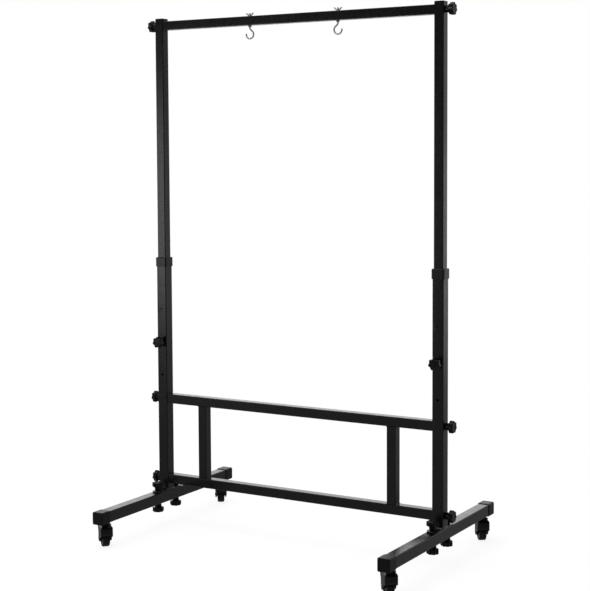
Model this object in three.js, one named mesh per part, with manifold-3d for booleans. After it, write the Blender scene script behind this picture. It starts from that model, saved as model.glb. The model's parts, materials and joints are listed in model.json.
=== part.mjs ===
import * as THREE from 'three';
import { mergeVertices } from 'three/addons/utils/BufferGeometryUtils.js';
import Module from 'manifold-3d';

// Height-adjustable gong stand of square steel tube, on four swivel casters.
// Millimetres, +Z up, X along the crossbar with left at -X, Y from the front (-Y) to the rear (+Y).
// The origin is on the floor, midway between the two uprights.

const wasm = await Module();
wasm.setup();

// Overall sizes and heights above the floor
const uprightSpacing = 1050;
const footTubeHalfLength = 384;
const footBottom = 88;
const lowerRailTop = 184;
const upperRailTop = 466;
const lowerTubeTop = 938.5;
const crossbarTop = 1750.5;
const upperTubeRise = 5.5;
const heightKnobHeight = 648.5;
const adjustingHolePitch = 115;
const upperTubeTail = 35;
const stileInset = 163;
const baseBoltOffset = 52;
const casterInset = 42;
const hookOffset = 166;

// Square tubes
const footTube = { width: 38, wall: 2, corner: 3 };
const lowerTube = { width: 38, wall: 1.5, corner: 3 };
const upperTube = { width: 32, wall: 1.5, corner: 2.5 };
const railTube = { width: 32, wall: 1.5, corner: 2.5 };
const barTube = { width: 30, wall: 1.5, corner: 2.5 };
const endPlateThickness = 5;

// Plastic fittings of the tubes
const footCap = { length: 42, proud: 2, floor: 3, edge: 1.5, notchGap: 1.2 };
const collar = { height: 32, proud: 3, lip: 3, edge: 2.5, sleeveDepth: 40 };
const topCap = { lip: 2, dome: 2.5, domeInset: 4, plugDepth: 12 };

// Star knobs
const knob = { radius: 20, waist: 16.5, lobes: 7, head: 16, edge: 2.5, hubTop: 12, hubFoot: 10.5, height: 30 };
const studRadius = 4;
const studReachInRail = 14;

// Base plates of the uprights and the bolts through them
const basePlateThickness = 4;
const nutBoreDepth = 22;
const boltEndInNut = 18;

// Casters
const wheel = { radius: 30, tread: 24, hubWidth: 30, hubRadius: 8, shoulder: 3.5, dishRadius: 20, dishDepth: 3 };
const axle = { radius: 3, headRadius: 5.5, headHeight: 1.5 };
const fork = {
  trail: 22, innerHalf: 15.5, plate: 5, topThickness: 9, top: 75,
  tailReach: 18, webBottom: 44, noseReach: 46, shoulderHeight: 50, eyeRadius: 12, hoodRadius: 11,
};
const casterMount = {
  raceRadius: 17, raceHeight: 5, neckRadius: 9.5, stemRadius: 5, stemReach: 20, pinRadius: 4, pinHeadRadius: 7,
  pinHeadHeight: 2.5,
};
const casterTurns = { left_front: 139, right_front: 132, left_rear: 127, right_rear: 125 };

// Gong hooks and their wing nuts
const hook = {
  wire: 2.6, bend: 14.2, drop: 29, shankRadius: 3, shankAboveBar: 11, shankBelowNut: 2, mouthHalfAngle: 78,
};
const hookNut = { radius: 5.8, height: 5 };
const wingNut = { hubRadius: 6.2, hubTopRadius: 4.8, hubHeight: 7, span: 15, height: 12.5, thickness: 2.4, root: 3 };

// Clearances and cutting
const seatGap = 0.3;
const boreClearance = 0.3;
const slidingClearance = 0.3;
const overrun = 2;

// Smoothness of round forms
const cornerSegments = 1;
const holeSides = 12;
const roundSides = 16;
const wheelSides = 24;
const pointsPerLobe = 4;
const plateEndSegments = 8;
const wireSides = 8;
const ringSides = 30;
const nutSides = 6;

// Places worked out from the sizes above
const uprightX = uprightSpacing / 2;
const casterOffset = footTubeHalfLength - casterInset;
const stileOffset = uprightX - stileInset;
const upperTubeTop = crossbarTop + upperTubeRise;
const footTop = footBottom + footTube.width;
const upperRailCentre = upperRailTop - railTube.width / 2;
const lowerRailCentre = lowerRailTop - railTube.width / 2;
const crossbarCentre = crossbarTop - barTube.width / 2;
const crossbarBottom = crossbarTop - barTube.width;
const upperTubeBottom = heightKnobHeight - upperTubeTail;
const studBore = studRadius + boreClearance;
const hookBore = hook.shankRadius + boreClearance;
const lowerTubeBottom = footTop + seatGap + basePlateThickness + seatGap;

// Finishes
const paintedSteel = new THREE.MeshStandardMaterial({ color: 0x1b1b1c, roughness: 0.55, metalness: 0.2 });
const blackPlastic = new THREE.MeshStandardMaterial({ color: 0x141415, roughness: 0.4, metalness: 0 });
const glossyPlastic = new THREE.MeshStandardMaterial({ color: 0x0f0f10, roughness: 0.25, metalness: 0 });
const blackRubber = new THREE.MeshStandardMaterial({ color: 0x19191a, roughness: 0.8, metalness: 0 });
const zincSteel = new THREE.MeshStandardMaterial({ color: 0x9a9a9a, roughness: 0.35, metalness: 1 });
const blackZinc = new THREE.MeshStandardMaterial({ color: 0x2a2a2b, roughness: 0.4, metalness: 1 });

const stand = new THREE.Group();

/** Turns a closed geometry into a solid that can be joined and cut. */
function toSolid(geometry) {
  const bare = geometry.clone();
  bare.deleteAttribute('normal');
  bare.deleteAttribute('uv');
  const merged = mergeVertices(bare);
  const vertProperties = new Float32Array(merged.attributes.position.array);
  const triVerts = new Uint32Array(merged.index.array);
  return new wasm.Manifold(new wasm.Mesh({ numProp: 3, vertProperties, triVerts }));
}

/** Turns a solid back into a geometry. */
function toGeometry(solid) {
  const mesh = solid.getMesh();
  const geometry = new THREE.BufferGeometry();
  geometry.setAttribute('position', new THREE.BufferAttribute(new Float32Array(mesh.vertProperties), 3));
  geometry.setIndex(new THREE.BufferAttribute(new Uint32Array(mesh.triVerts), 1));
  return geometry;
}

/** A rounded square outline about the origin. */
function roundedSquare(width, corner, Outline = THREE.Shape) {
  const half = width / 2;
  const inner = half - corner;
  const outline = new Outline();
  outline.moveTo(half, -inner);
  outline.lineTo(half, inner);
  outline.absarc(inner, inner, corner, 0, Math.PI / 2);
  outline.lineTo(-inner, half);
  outline.absarc(-inner, inner, corner, Math.PI / 2, Math.PI);
  outline.lineTo(-half, -inner);
  outline.absarc(-inner, -inner, corner, Math.PI, 1.5 * Math.PI);
  outline.lineTo(inner, -half);
  outline.absarc(inner, -inner, corner, 1.5 * Math.PI, 2 * Math.PI);
  return outline;
}

/** A prism of a rounded square, standing on z = bottom. */
function squarePrism(width, corner, bottom, height) {
  const options = { depth: height, bevelEnabled: false, curveSegments: cornerSegments };
  return toSolid(new THREE.ExtrudeGeometry(roundedSquare(width, corner), options).translate(0, 0, bottom));
}

/** A round bar along an axis, from one coordinate to another, with its centre line at the two others. */
function roundBar(radius, axis, from, to, centre, sides = holeSides) {
  const geometry = new THREE.CylinderGeometry(radius, radius, to - from, sides);
  if (axis === 'x') geometry.rotateZ(-Math.PI / 2);
  if (axis === 'z') geometry.rotateX(Math.PI / 2);
  const middle = new THREE.Vector3(...centre);
  middle[axis] = (from + to) / 2;
  return toSolid(geometry.translate(middle.x, middle.y, middle.z));
}

/** A shape turned about the Z axis from radius and height pairs, with a flat's middle at -Y if asked. */
function turnedGeometry(profile, sides, flatBelow = false) {
  const points = profile.map(([radius, height]) => new THREE.Vector2(radius, height));
  const geometry = new THREE.LatheGeometry(points, sides).rotateX(Math.PI / 2);
  return flatBelow ? geometry.rotateZ(Math.PI / sides) : geometry;
}

/** A solid turned about the Z axis from radius and height pairs. */
function turned(profile, sides = roundSides) {
  return toSolid(turnedGeometry(profile, sides));
}

/** A hollow square tube along Z from 0 to its length, with open ends. */
function hollowTube(tube, length) {
  const bore = tube.width - 2 * tube.wall;
  const boreCorner = tube.corner - tube.wall;
  const outside = squarePrism(tube.width, tube.corner, 0, length);
  return outside.subtract(squarePrism(bore, boreCorner, -overrun, length + 2 * overrun));
}

/** A tube whose two ends are closed by plates that take the stud of a knob. */
function platedTube(tube, length) {
  const bore = tube.width - 2 * tube.wall;
  const boreCorner = tube.corner - tube.wall;
  const outside = squarePrism(tube.width, tube.corner, 0, length);
  const hollow = squarePrism(bore, boreCorner, endPlateThickness, length - 2 * endPlateThickness);
  const studHole = roundBar(studBore, 'z', -overrun, length + overrun, [0, 0, 0]);
  return outside.subtract(hollow).subtract(studHole);
}

/** Adds one named piece to a group. */
function add(parent, name, shape, material) {
  const geometry = shape.isBufferGeometry ? shape : toGeometry(shape);
  const piece = new THREE.Mesh(geometry, material);
  piece.name = name;
  parent.add(piece);
  return piece;
}

/** A group placed at a point, for the pieces that share that place. */
function place(parent, x, y, z) {
  const group = new THREE.Group();
  group.position.set(x, y, z);
  parent.add(group);
  return group;
}

/** The lobed outline of a star knob. */
function knobOutline() {
  const mean = (knob.radius + knob.waist) / 2 - knob.edge;
  const swing = (knob.radius - knob.waist) / 2;
  const count = knob.lobes * pointsPerLobe;
  const points = [];
  for (let i = 0; i < count; i += 1) {
    const angle = (2 * Math.PI * i) / count;
    const radius = mean + swing * Math.cos(knob.lobes * angle);
    points.push(new THREE.Vector2(radius * Math.cos(angle), radius * Math.sin(angle)));
  }
  return new THREE.Shape(points);
}

/** The plastic body of a star knob: its hub stands on z = 0 and the lobed head is on top. */
function knobBody() {
  const options = {
    depth: knob.head - 2 * knob.edge,
    bevelEnabled: true,
    bevelThickness: knob.edge,
    bevelSize: knob.edge,
    bevelSegments: 1,
  };
  const headBottom = knob.height - knob.head;
  const head = new THREE.ExtrudeGeometry(knobOutline(), options).translate(0, 0, headBottom + knob.edge);
  const hubEnd = headBottom + knob.edge;
  const hub = turned([[0, 0], [knob.hubFoot, 0], [knob.hubTop, hubEnd], [0, hubEnd]], holeSides);
  return toSolid(head).add(hub);
}

/** A star knob with a threaded stud that reaches down from its hub. */
function studKnob(reach) {
  return knobBody().add(roundBar(studRadius, 'z', -reach, knob.height / 2, [0, 0, 0]));
}

/** A star knob with a blind bore that runs on the stud of another knob. */
function nutKnob() {
  return knobBody().subtract(roundBar(studBore, 'z', -overrun, nutBoreDepth, [0, 0, 0]));
}

/** A foot: a tube along Z with holes for the caster stems below (-Y) and for the base bolts right through. */
function footTubeSolid() {
  const length = 2 * footTubeHalfLength;
  const reach = footTube.width / 2 + overrun;
  const stemBore = casterMount.stemRadius + boreClearance;
  let tube = hollowTube(footTube, length);
  for (const side of [-1, 1]) {
    const stemPlace = [0, 0, length / 2 + side * casterOffset];
    const boltPlace = [0, 0, length / 2 + side * baseBoltOffset];
    tube = tube.subtract(roundBar(stemBore, 'y', -reach, 0, stemPlace));
    tube = tube.subtract(roundBar(studBore, 'y', -reach, reach, boltPlace));
  }
  return tube;
}

/** The round-ended plate that an upright stands on, lying on z = 0, with its two bolt holes. */
function basePlateSolid() {
  const half = lowerTube.width / 2;
  const outline = new THREE.Shape();
  outline.absarc(0, baseBoltOffset, half, 0, Math.PI);
  outline.absarc(0, -baseBoltOffset, half, Math.PI, 2 * Math.PI);
  const options = { depth: basePlateThickness, bevelEnabled: false, curveSegments: plateEndSegments };
  let plate = toSolid(new THREE.ExtrudeGeometry(outline, options));
  for (const side of [-1, 1]) {
    const boltPlace = [0, side * baseBoltOffset, 0];
    plate = plate.subtract(roundBar(studBore, 'z', -overrun, basePlateThickness + overrun, boltPlace));
  }
  return plate;
}

/** The cup-shaped cap of a foot, open towards -Z and closed at z = 0, notched on its lower side, Y = lower. */
function footCapSolid(lower) {
  const options = {
    depth: footCap.length - 2 * footCap.edge,
    bevelEnabled: true,
    bevelThickness: footCap.edge,
    bevelSize: footCap.edge,
    bevelSegments: 1,
    curveSegments: cornerSegments,
  };
  const outerWidth = footTube.width + 2 * footCap.proud;
  const outline = roundedSquare(outerWidth - 2 * footCap.edge, footTube.corner);
  const outside = new THREE.ExtrudeGeometry(outline, options).translate(0, 0, footCap.edge - footCap.length);
  const pocket = footTube.width + 2 * seatGap;
  const pocketBottom = -footCap.length - overrun;
  const pocketDepth = footCap.length + overrun - footCap.floor;
  const cup = toSolid(outside).subtract(squarePrism(pocket, footTube.corner, pocketBottom, pocketDepth));
  const stemPlace = [0, 0, casterOffset - footTubeHalfLength - seatGap - footCap.floor];
  const notchRadius = casterMount.neckRadius + footCap.notchGap;
  const notchEnd = outerWidth / 2 + overrun;
  const notch = roundBar(notchRadius, 'y', Math.min(0, lower * notchEnd), Math.max(0, lower * notchEnd), stemPlace);
  return cup.subtract(notch);
}

/** A lower upright tube, standing on z = 0, with bolt holes and the height-adjusting holes in front. */
function lowerTubeSolid() {
  const base = lowerTubeBottom;
  const half = lowerTube.width / 2;
  const reach = half + overrun;
  let tube = hollowTube(lowerTube, lowerTubeTop - base);
  for (const height of [lowerRailCentre, upperRailCentre]) {
    tube = tube.subtract(roundBar(studBore, 'x', -reach, reach, [0, 0, height - base]));
  }
  for (const step of [-1, 0, 1]) {
    const height = heightKnobHeight + step * adjustingHolePitch;
    tube = tube.subtract(roundBar(studBore, 'y', -reach, 0, [0, 0, height - base]));
  }
  return tube;
}

/** An upper upright tube, standing on z = 0, with the hole of the crossbar knob. */
function upperTubeSolid() {
  const reach = upperTube.width / 2 + overrun;
  const tube = hollowTube(upperTube, upperTubeTop - upperTubeBottom);
  return tube.subtract(roundBar(studBore, 'x', -reach, reach, [0, 0, crossbarCentre - upperTubeBottom]));
}

/** The guide collar on top of a lower tube, with its top face at z = 0. */
function collarSolid() {
  const options = {
    depth: collar.height - 2 * collar.edge,
    bevelEnabled: true,
    bevelThickness: collar.edge,
    bevelSize: collar.edge,
    bevelSegments: 1,
    curveSegments: cornerSegments,
  };
  const outerWidth = lowerTube.width + 2 * collar.proud;
  const outline = roundedSquare(outerWidth - 2 * collar.edge, lowerTube.corner);
  const outside = new THREE.ExtrudeGeometry(outline, options).translate(0, 0, collar.edge - collar.height);
  const pocket = lowerTube.width + 2 * seatGap;
  const pocketBottom = -collar.height - overrun;
  const pocketDepth = collar.height + overrun - collar.lip;
  const skirt = toSolid(outside).subtract(squarePrism(pocket, lowerTube.corner, pocketBottom, pocketDepth));
  const sleeveWidth = lowerTube.width - 2 * lowerTube.wall - 2 * seatGap;
  const sleeveBottom = -collar.lip - collar.sleeveDepth;
  const sleeveCorner = lowerTube.corner - lowerTube.wall;
  const sleeve = squarePrism(sleeveWidth, sleeveCorner, sleeveBottom, collar.sleeveDepth + collar.lip / 2);
  const passage = upperTube.width + 2 * slidingClearance;
  const passageBottom = sleeveBottom - overrun;
  return skirt.add(sleeve).subtract(squarePrism(passage, upperTube.corner, passageBottom, 2 * overrun - passageBottom));
}

/** The domed plug of an upper tube, whose lip stands on z = 0. */
function topCapSolid() {
  const options = {
    depth: topCap.lip,
    bevelEnabled: true,
    bevelThickness: topCap.dome,
    bevelSize: topCap.domeInset,
    bevelSegments: 2,
    curveSegments: cornerSegments,
  };
  const outline = roundedSquare(upperTube.width - 2 * topCap.domeInset, upperTube.corner);
  const domed = toSolid(new THREE.ExtrudeGeometry(outline, options));
  const lip = squarePrism(upperTube.width, upperTube.corner, 0, topCap.lip);
  const above = squarePrism(upperTube.width + overrun, upperTube.corner, 0, topCap.lip + topCap.dome + overrun);
  const plugWidth = upperTube.width - 2 * upperTube.wall - 2 * seatGap;
  const plugCorner = upperTube.corner - upperTube.wall;
  const plug = squarePrism(plugWidth, plugCorner, -topCap.plugDepth, topCap.plugDepth + topCap.lip / 2);
  return domed.intersect(above).add(lip).add(plug);
}

/** The crossbar, along Z from 0, with plated ends and the holes of the two hook bolts. */
function crossbarSolid(length) {
  const reach = barTube.width / 2 + overrun;
  let bar = platedTube(barTube, length);
  for (const side of [-1, 1]) {
    bar = bar.subtract(roundBar(hookBore, 'x', -reach, reach, [0, 0, length / 2 + side * hookOffset]));
  }
  return bar;
}

/** The fixed part of a caster: stem, neck, race and king pin, with z = 0 on the floor. */
function casterMountSolid() {
  const m = casterMount;
  const raceBottom = fork.top + seatGap;
  const raceTop = raceBottom + m.raceHeight;
  const neckTop = footBottom - seatGap;
  const pinBottom = fork.top - fork.topThickness - seatGap;
  const stemTop = footBottom + m.stemReach;
  return turned([
    [0, pinBottom - m.pinHeadHeight], [m.pinHeadRadius, pinBottom - m.pinHeadHeight], [m.pinHeadRadius, pinBottom],
    [m.pinRadius, pinBottom], [m.pinRadius, raceBottom], [m.raceRadius, raceBottom], [m.raceRadius, raceTop],
    [m.neckRadius, raceTop], [m.neckRadius, neckTop], [m.stemRadius, neckTop], [m.stemRadius, stemTop], [0, stemTop],
  ]);
}

/** The swivelling fork of a caster: X towards the wheel, Y along the axle, z = 0 on the floor. */
function forkSolid() {
  const halfWidth = fork.innerHalf + fork.plate;
  const legTop = fork.top - fork.topThickness;
  const outline = new THREE.Shape();
  outline.moveTo(-fork.tailReach, fork.top);
  outline.lineTo(-fork.tailReach, fork.webBottom);
  outline.lineTo(fork.trail - fork.eyeRadius, wheel.radius);
  outline.absarc(fork.trail, wheel.radius, fork.eyeRadius, Math.PI, 2 * Math.PI);
  outline.lineTo(fork.noseReach, fork.shoulderHeight);
  outline.lineTo(fork.noseReach - fork.plate, fork.top);
  const options = { depth: 2 * halfWidth, bevelEnabled: false, curveSegments: 4 };
  const block = new THREE.ExtrudeGeometry(outline, options).translate(0, 0, -halfWidth).rotateX(Math.PI / 2);
  const webBack = fork.plate - fork.tailReach;
  const slotReach = fork.noseReach + overrun - webBack;
  const slot = new THREE.BoxGeometry(slotReach, 2 * fork.innerHalf, legTop);
  slot.translate(webBack + slotReach / 2, 0, legTop / 2);
  const pinHole = roundBar(casterMount.pinRadius + boreClearance, 'z', legTop - overrun, fork.top + overrun, [0, 0, 0]);
  const axleReach = halfWidth + overrun;
  const axleHole = roundBar(axle.radius + boreClearance, 'y', -axleReach, axleReach, [fork.trail, 0, wheel.radius]);
  const rounding = roundBar(halfWidth + fork.plate, 'z', 0, fork.top + overrun, [0, 0, 0], roundSides);
  const nose = new THREE.BoxGeometry(fork.noseReach, 2 * halfWidth, fork.top + overrun);
  nose.translate(fork.noseReach / 2, 0, (fork.top + overrun) / 2);
  const plan = rounding.add(toSolid(nose));
  const hood = new THREE.Shape();
  hood.moveTo(-halfWidth, 0);
  hood.lineTo(halfWidth, 0);
  hood.absarc(halfWidth - fork.hoodRadius, fork.top - fork.hoodRadius, fork.hoodRadius, 0, Math.PI / 2);
  hood.absarc(fork.hoodRadius - halfWidth, fork.top - fork.hoodRadius, fork.hoodRadius, Math.PI / 2, Math.PI);
  const reach = fork.noseReach + overrun + fork.tailReach + overrun;
  const hoodOptions = { depth: reach, bevelEnabled: false, curveSegments: 3 };
  const cover = new THREE.ExtrudeGeometry(hood, hoodOptions).rotateX(Math.PI / 2).rotateZ(Math.PI / 2);
  cover.translate(-fork.tailReach - overrun, 0, 0);
  const body = toSolid(block).intersect(plan).intersect(toSolid(cover));
  return body.subtract(toSolid(slot)).subtract(pinHole).subtract(axleHole);
}

/** A caster wheel about the Z axis, centred on the origin, resting on the middle of a flat. */
function wheelGeometry() {
  const { shoulder, hubRadius, dishRadius } = wheel;
  const radius = wheel.radius / Math.cos(Math.PI / wheelSides);
  const halfTread = wheel.tread / 2;
  const halfHub = wheel.hubWidth / 2;
  const dish = halfTread - wheel.dishDepth;
  const below = [
    [axle.radius + boreClearance, -halfHub], [hubRadius, -halfHub], [hubRadius, -dish], [dishRadius, -dish],
    [dishRadius + wheel.dishDepth, -halfTread], [radius - shoulder, -halfTread], [radius, shoulder - halfTread],
  ];
  const above = below.map(([r, z]) => [r, -z]).reverse();
  return turnedGeometry([...below, ...above, below[0]], wheelSides, true);
}

/** The axle bolt of a caster wheel along Z, with its head and nut. */
function axleSolid() {
  const half = fork.innerHalf + fork.plate + seatGap;
  const end = half + axle.headHeight;
  return turned([
    [0, -end], [axle.headRadius, -end], [axle.headRadius, -half], [axle.radius, -half],
    [axle.radius, half], [axle.headRadius, half], [axle.headRadius, end], [0, end],
  ], holeSides);
}

/** A hook bolt: a shank through the bar and an open ring below it, with z = 0 at the bar's top. */
function hookSolid() {
  const ringRadii = [];
  for (let i = 0; i <= wireSides; i += 1) {
    const angle = (2 * Math.PI * (i + 0.5)) / wireSides;
    ringRadii.push([hook.bend + hook.wire * Math.cos(angle), hook.wire * Math.sin(angle)]);
  }
  const ringPlace = [0, 0, -barTube.width - hook.drop];
  const ring = turnedGeometry(ringRadii, ringSides, true).rotateX(Math.PI / 2).translate(...ringPlace);
  const mouth = new THREE.Shape();
  const mouthAngle = THREE.MathUtils.degToRad(hook.mouthHalfAngle);
  const mouthReach = 2 * (hook.bend + hook.wire);
  mouth.moveTo(0, 0);
  mouth.lineTo(mouthReach * Math.sin(mouthAngle), mouthReach * Math.cos(mouthAngle));
  mouth.lineTo(0, mouthReach);
  mouth.lineTo(-mouthReach * Math.sin(mouthAngle), mouthReach * Math.cos(mouthAngle));
  const options = { depth: 2 * mouthReach, bevelEnabled: false };
  const opening = new THREE.ExtrudeGeometry(mouth, options).translate(0, 0, -mouthReach);
  opening.rotateX(Math.PI / 2).translate(...ringPlace);
  const bend = toSolid(ring).subtract(toSolid(opening));
  const shankBottom = -barTube.width - 2 * seatGap - hookNut.height - hook.shankBelowNut;
  const shank = roundBar(hook.shankRadius, 'z', shankBottom, hook.shankAboveBar, [0, 0, 0]);
  const start = new THREE.Vector3(0, 0, shankBottom);
  const end = new THREE.Vector3(
    hook.bend * Math.sin(mouthAngle), 0, hook.bend * Math.cos(mouthAngle) - barTube.width - hook.drop,
  );
  const slope = new THREE.CylinderGeometry(hook.wire, hook.wire, start.distanceTo(end) + hook.wire, holeSides);
  slope.rotateX(Math.PI / 2);
  slope.lookAt(end.clone().sub(start));
  const middle = start.clone().add(end).divideScalar(2);
  return shank.add(toSolid(slope.translate(middle.x, middle.y, middle.z))).add(bend);
}

/** The nut that holds a hook bolt under the bar, with z = 0 at its top. */
function hookNutSolid() {
  const { radius, height } = hookNut;
  const body = turned([[0, -height], [radius, -height], [radius, 0], [0, 0]], nutSides);
  return body.subtract(roundBar(hookBore, 'z', -height - overrun, overrun, [0, 0, 0]));
}

/** A wing nut standing on z = 0, with its wings along X. */
function wingNutSolid() {
  const { hubRadius, hubTopRadius, hubHeight, span, height, thickness, root } = wingNut;
  const hub = turned([[0, 0], [hubRadius, 0], [hubTopRadius, hubHeight], [0, hubHeight]], holeSides);
  const outline = new THREE.Shape();
  outline.moveTo(-hubTopRadius, root / 2);
  outline.lineTo(hubTopRadius, root / 2);
  outline.lineTo(span - root, hubHeight);
  outline.lineTo(span, height - root);
  outline.lineTo(span - root, height);
  outline.lineTo(hubRadius, hubHeight - root / 2);
  outline.lineTo(-hubRadius, hubHeight - root / 2);
  outline.lineTo(root - span, height);
  outline.lineTo(-span, height - root);
  outline.lineTo(root - span, hubHeight);
  const options = { depth: thickness, bevelEnabled: false };
  const wings = new THREE.ExtrudeGeometry(outline, options).translate(0, 0, -thickness / 2).rotateX(Math.PI / 2);
  const bore = roundBar(hookBore, 'z', -overrun, height + overrun, [0, 0, 0]);
  return hub.add(toSolid(wings)).subtract(bore);
}

const sides = [['left', -1], ['right', 1]];
const ends = [['front', -1], ['rear', 1]];

// Feet with their end caps, base bolts and casters
for (const [side, sx] of sides) {
  const foot = place(stand, sx * uprightX, 0, 0);
  const tube = add(foot, `${side}_foot_tube`, footTubeSolid(), paintedSteel);
  tube.rotation.x = Math.PI / 2;
  tube.position.set(0, footTubeHalfLength, footBottom + footTube.width / 2);
  for (const [end, sy] of ends) {
    const capEnd = footTubeHalfLength + seatGap + footCap.floor;
    const cap = add(foot, `${side}_${end}_foot_cap`, footCapSolid(sy), blackPlastic);
    cap.rotation.x = (-sy * Math.PI) / 2;
    cap.position.set(0, sy * capEnd, footBottom + footTube.width / 2);

    const bolt = place(foot, 0, sy * baseBoltOffset, 0);
    const knobBase = footTop + seatGap + basePlateThickness + seatGap;
    const nutBase = footBottom - seatGap;
    const boltReach = knobBase - nutBase + boltEndInNut;
    add(bolt, `${side}_${end}_base_knob`, studKnob(boltReach), glossyPlastic).position.z = knobBase;
    const nut = add(bolt, `${side}_${end}_base_nut_knob`, nutKnob(), glossyPlastic);
    nut.rotation.x = Math.PI;
    nut.position.z = nutBase;

    const caster = place(foot, 0, sy * casterOffset, 0);
    add(caster, `${side}_${end}_caster_mount`, casterMountSolid(), blackZinc);
    const swivel = place(caster, 0, 0, 0);
    swivel.rotation.z = THREE.MathUtils.degToRad(casterTurns[`${side}_${end}`]);
    add(swivel, `${side}_${end}_caster_fork`, forkSolid(), blackPlastic);
    for (const [name, solid, material] of [['wheel', wheelGeometry(), blackRubber], ['axle', axleSolid(), zincSteel]]) {
      const piece = add(swivel, `${side}_${end}_caster_${name}`, solid, material);
      piece.rotation.x = Math.PI / 2;
      piece.position.set(fork.trail, 0, wheel.radius);
    }
  }
}

// Uprights: base plate, lower tube, collar, upper tube and top cap, with the knobs in their faces
for (const [side, sx] of sides) {
  const upright = place(stand, sx * uprightX, 0, 0);
  add(upright, `${side}_base_plate`, basePlateSolid(), paintedSteel).position.z = footTop + seatGap;
  add(upright, `${side}_lower_tube`, lowerTubeSolid(), paintedSteel).position.z = lowerTubeBottom;
  add(upright, `${side}_collar`, collarSolid(), blackPlastic).position.z = lowerTubeTop + seatGap + collar.lip;
  add(upright, `${side}_upper_tube`, upperTubeSolid(), paintedSteel).position.z = upperTubeBottom;
  add(upright, `${side}_top_cap`, topCapSolid(), blackPlastic).position.z = upperTubeTop + seatGap;

  const lowerFace = lowerTube.width / 2 + seatGap;
  const upperFace = upperTube.width / 2 + seatGap;
  const lowerReach = lowerFace + lowerTube.width / 2 + seatGap + studReachInRail;
  const upperReach = upperFace + upperTube.width / 2 + seatGap + studReachInRail;
  const sideKnobs = [
    ['lower_rail_knob', lowerRailCentre, lowerFace, lowerReach],
    ['upper_rail_knob', upperRailCentre, lowerFace, lowerReach],
    ['crossbar_knob', crossbarCentre, upperFace, upperReach],
  ];
  for (const [name, height, face, reach] of sideKnobs) {
    const piece = add(upright, `${side}_${name}`, studKnob(reach), glossyPlastic);
    piece.rotation.y = (sx * Math.PI) / 2;
    piece.position.set(sx * face, 0, height);
  }

  const clampReach = lowerFace - upperTube.width / 2 - seatGap;
  const heightKnob = add(upright, `${side}_height_knob`, studKnob(clampReach), glossyPlastic);
  heightKnob.rotation.x = Math.PI / 2;
  heightKnob.position.set(0, -lowerFace, heightKnobHeight);
}

// Brace frame: two rails between the lower tubes and two stiles between the rails
const railLength = uprightSpacing - lowerTube.width - 2 * seatGap;
for (const [name, height] of [['brace_lower_rail', lowerRailCentre], ['brace_upper_rail', upperRailCentre]]) {
  const rail = add(stand, name, platedTube(railTube, railLength), paintedSteel);
  rail.rotation.y = Math.PI / 2;
  rail.position.set(-railLength / 2, 0, height);
}
const stileLength = upperRailTop - railTube.width - lowerRailTop - 2 * seatGap;
for (const [side, sx] of sides) {
  const stile = add(stand, `brace_${side}_stile`, hollowTube(railTube, stileLength), paintedSteel);
  stile.position.set(sx * stileOffset, 0, lowerRailTop + seatGap);
}

// Crossbar with its two hooks and their wing nuts
const barLength = uprightSpacing - upperTube.width - 2 * seatGap;
const crossbar = add(stand, 'crossbar', crossbarSolid(barLength), paintedSteel);
crossbar.rotation.y = Math.PI / 2;
crossbar.position.set(-barLength / 2, 0, crossbarCentre);
for (const [side, sx] of sides) {
  const hanger = place(stand, sx * hookOffset, 0, crossbarTop);
  const hookPiece = add(hanger, `${side}_hook`, hookSolid(), zincSteel);
  hookPiece.rotation.z = sx > 0 ? Math.PI : 0;
  add(hanger, `${side}_hook_nut`, hookNutSolid(), zincSteel).position.z = -barTube.width - seatGap;
  add(hanger, `${side}_wing_nut`, wingNutSolid(), zincSteel).position.z = seatGap;
}

export default stand;
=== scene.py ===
"""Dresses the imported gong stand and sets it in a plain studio.

Its sub-assemblies are feet, uprights, brace, crossbar, star knobs, casters and hangers.
"""

import json
import logging
import math
from dataclasses import dataclass
from enum import Enum
from typing import Iterator, Optional, Sequence

import bmesh
import bpy
from bmesh.types import BMEdge, BMFace, BMVert
from mathutils import Matrix, Vector


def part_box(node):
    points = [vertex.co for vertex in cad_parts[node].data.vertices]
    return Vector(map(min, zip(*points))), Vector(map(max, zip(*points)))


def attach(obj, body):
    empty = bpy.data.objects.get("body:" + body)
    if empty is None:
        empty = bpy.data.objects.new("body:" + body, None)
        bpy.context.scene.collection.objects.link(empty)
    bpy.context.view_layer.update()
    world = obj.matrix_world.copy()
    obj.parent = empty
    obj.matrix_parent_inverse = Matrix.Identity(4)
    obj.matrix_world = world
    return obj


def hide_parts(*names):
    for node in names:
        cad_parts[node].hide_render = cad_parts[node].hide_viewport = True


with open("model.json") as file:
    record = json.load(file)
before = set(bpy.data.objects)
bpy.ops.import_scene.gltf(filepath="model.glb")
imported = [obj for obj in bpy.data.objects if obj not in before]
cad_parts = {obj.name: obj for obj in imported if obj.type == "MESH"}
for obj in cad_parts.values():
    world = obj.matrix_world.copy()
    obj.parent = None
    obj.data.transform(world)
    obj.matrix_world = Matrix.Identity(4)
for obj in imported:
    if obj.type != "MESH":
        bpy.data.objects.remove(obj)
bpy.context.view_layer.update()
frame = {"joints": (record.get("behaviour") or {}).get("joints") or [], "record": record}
LOG = logging.getLogger("gong_stand")

MM = 0.001
RIGHT, REAR, UP = Vector((1, 0, 0)), Vector((0, 1, 0)), Vector((0, 0, 1))
WORLD_AXES = (RIGHT, REAR, UP)

# Tolerances in millimetres, and the cosine past which two directions count as one
SAME_PLACE = 0.001
ON_FACE = 0.01
CUT_TOLERANCE = 0.0001
SAME_DIRECTION = 0.9999
FLAT_ANGLE = math.radians(1)

# Number of flats on a rounded edge
EDGE_STEPS = 5

# Sign of each side's X and of each end's Y
SIDES = {"left": -1, "right": 1}
ENDS = {"front": -1, "rear": 1}

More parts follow.
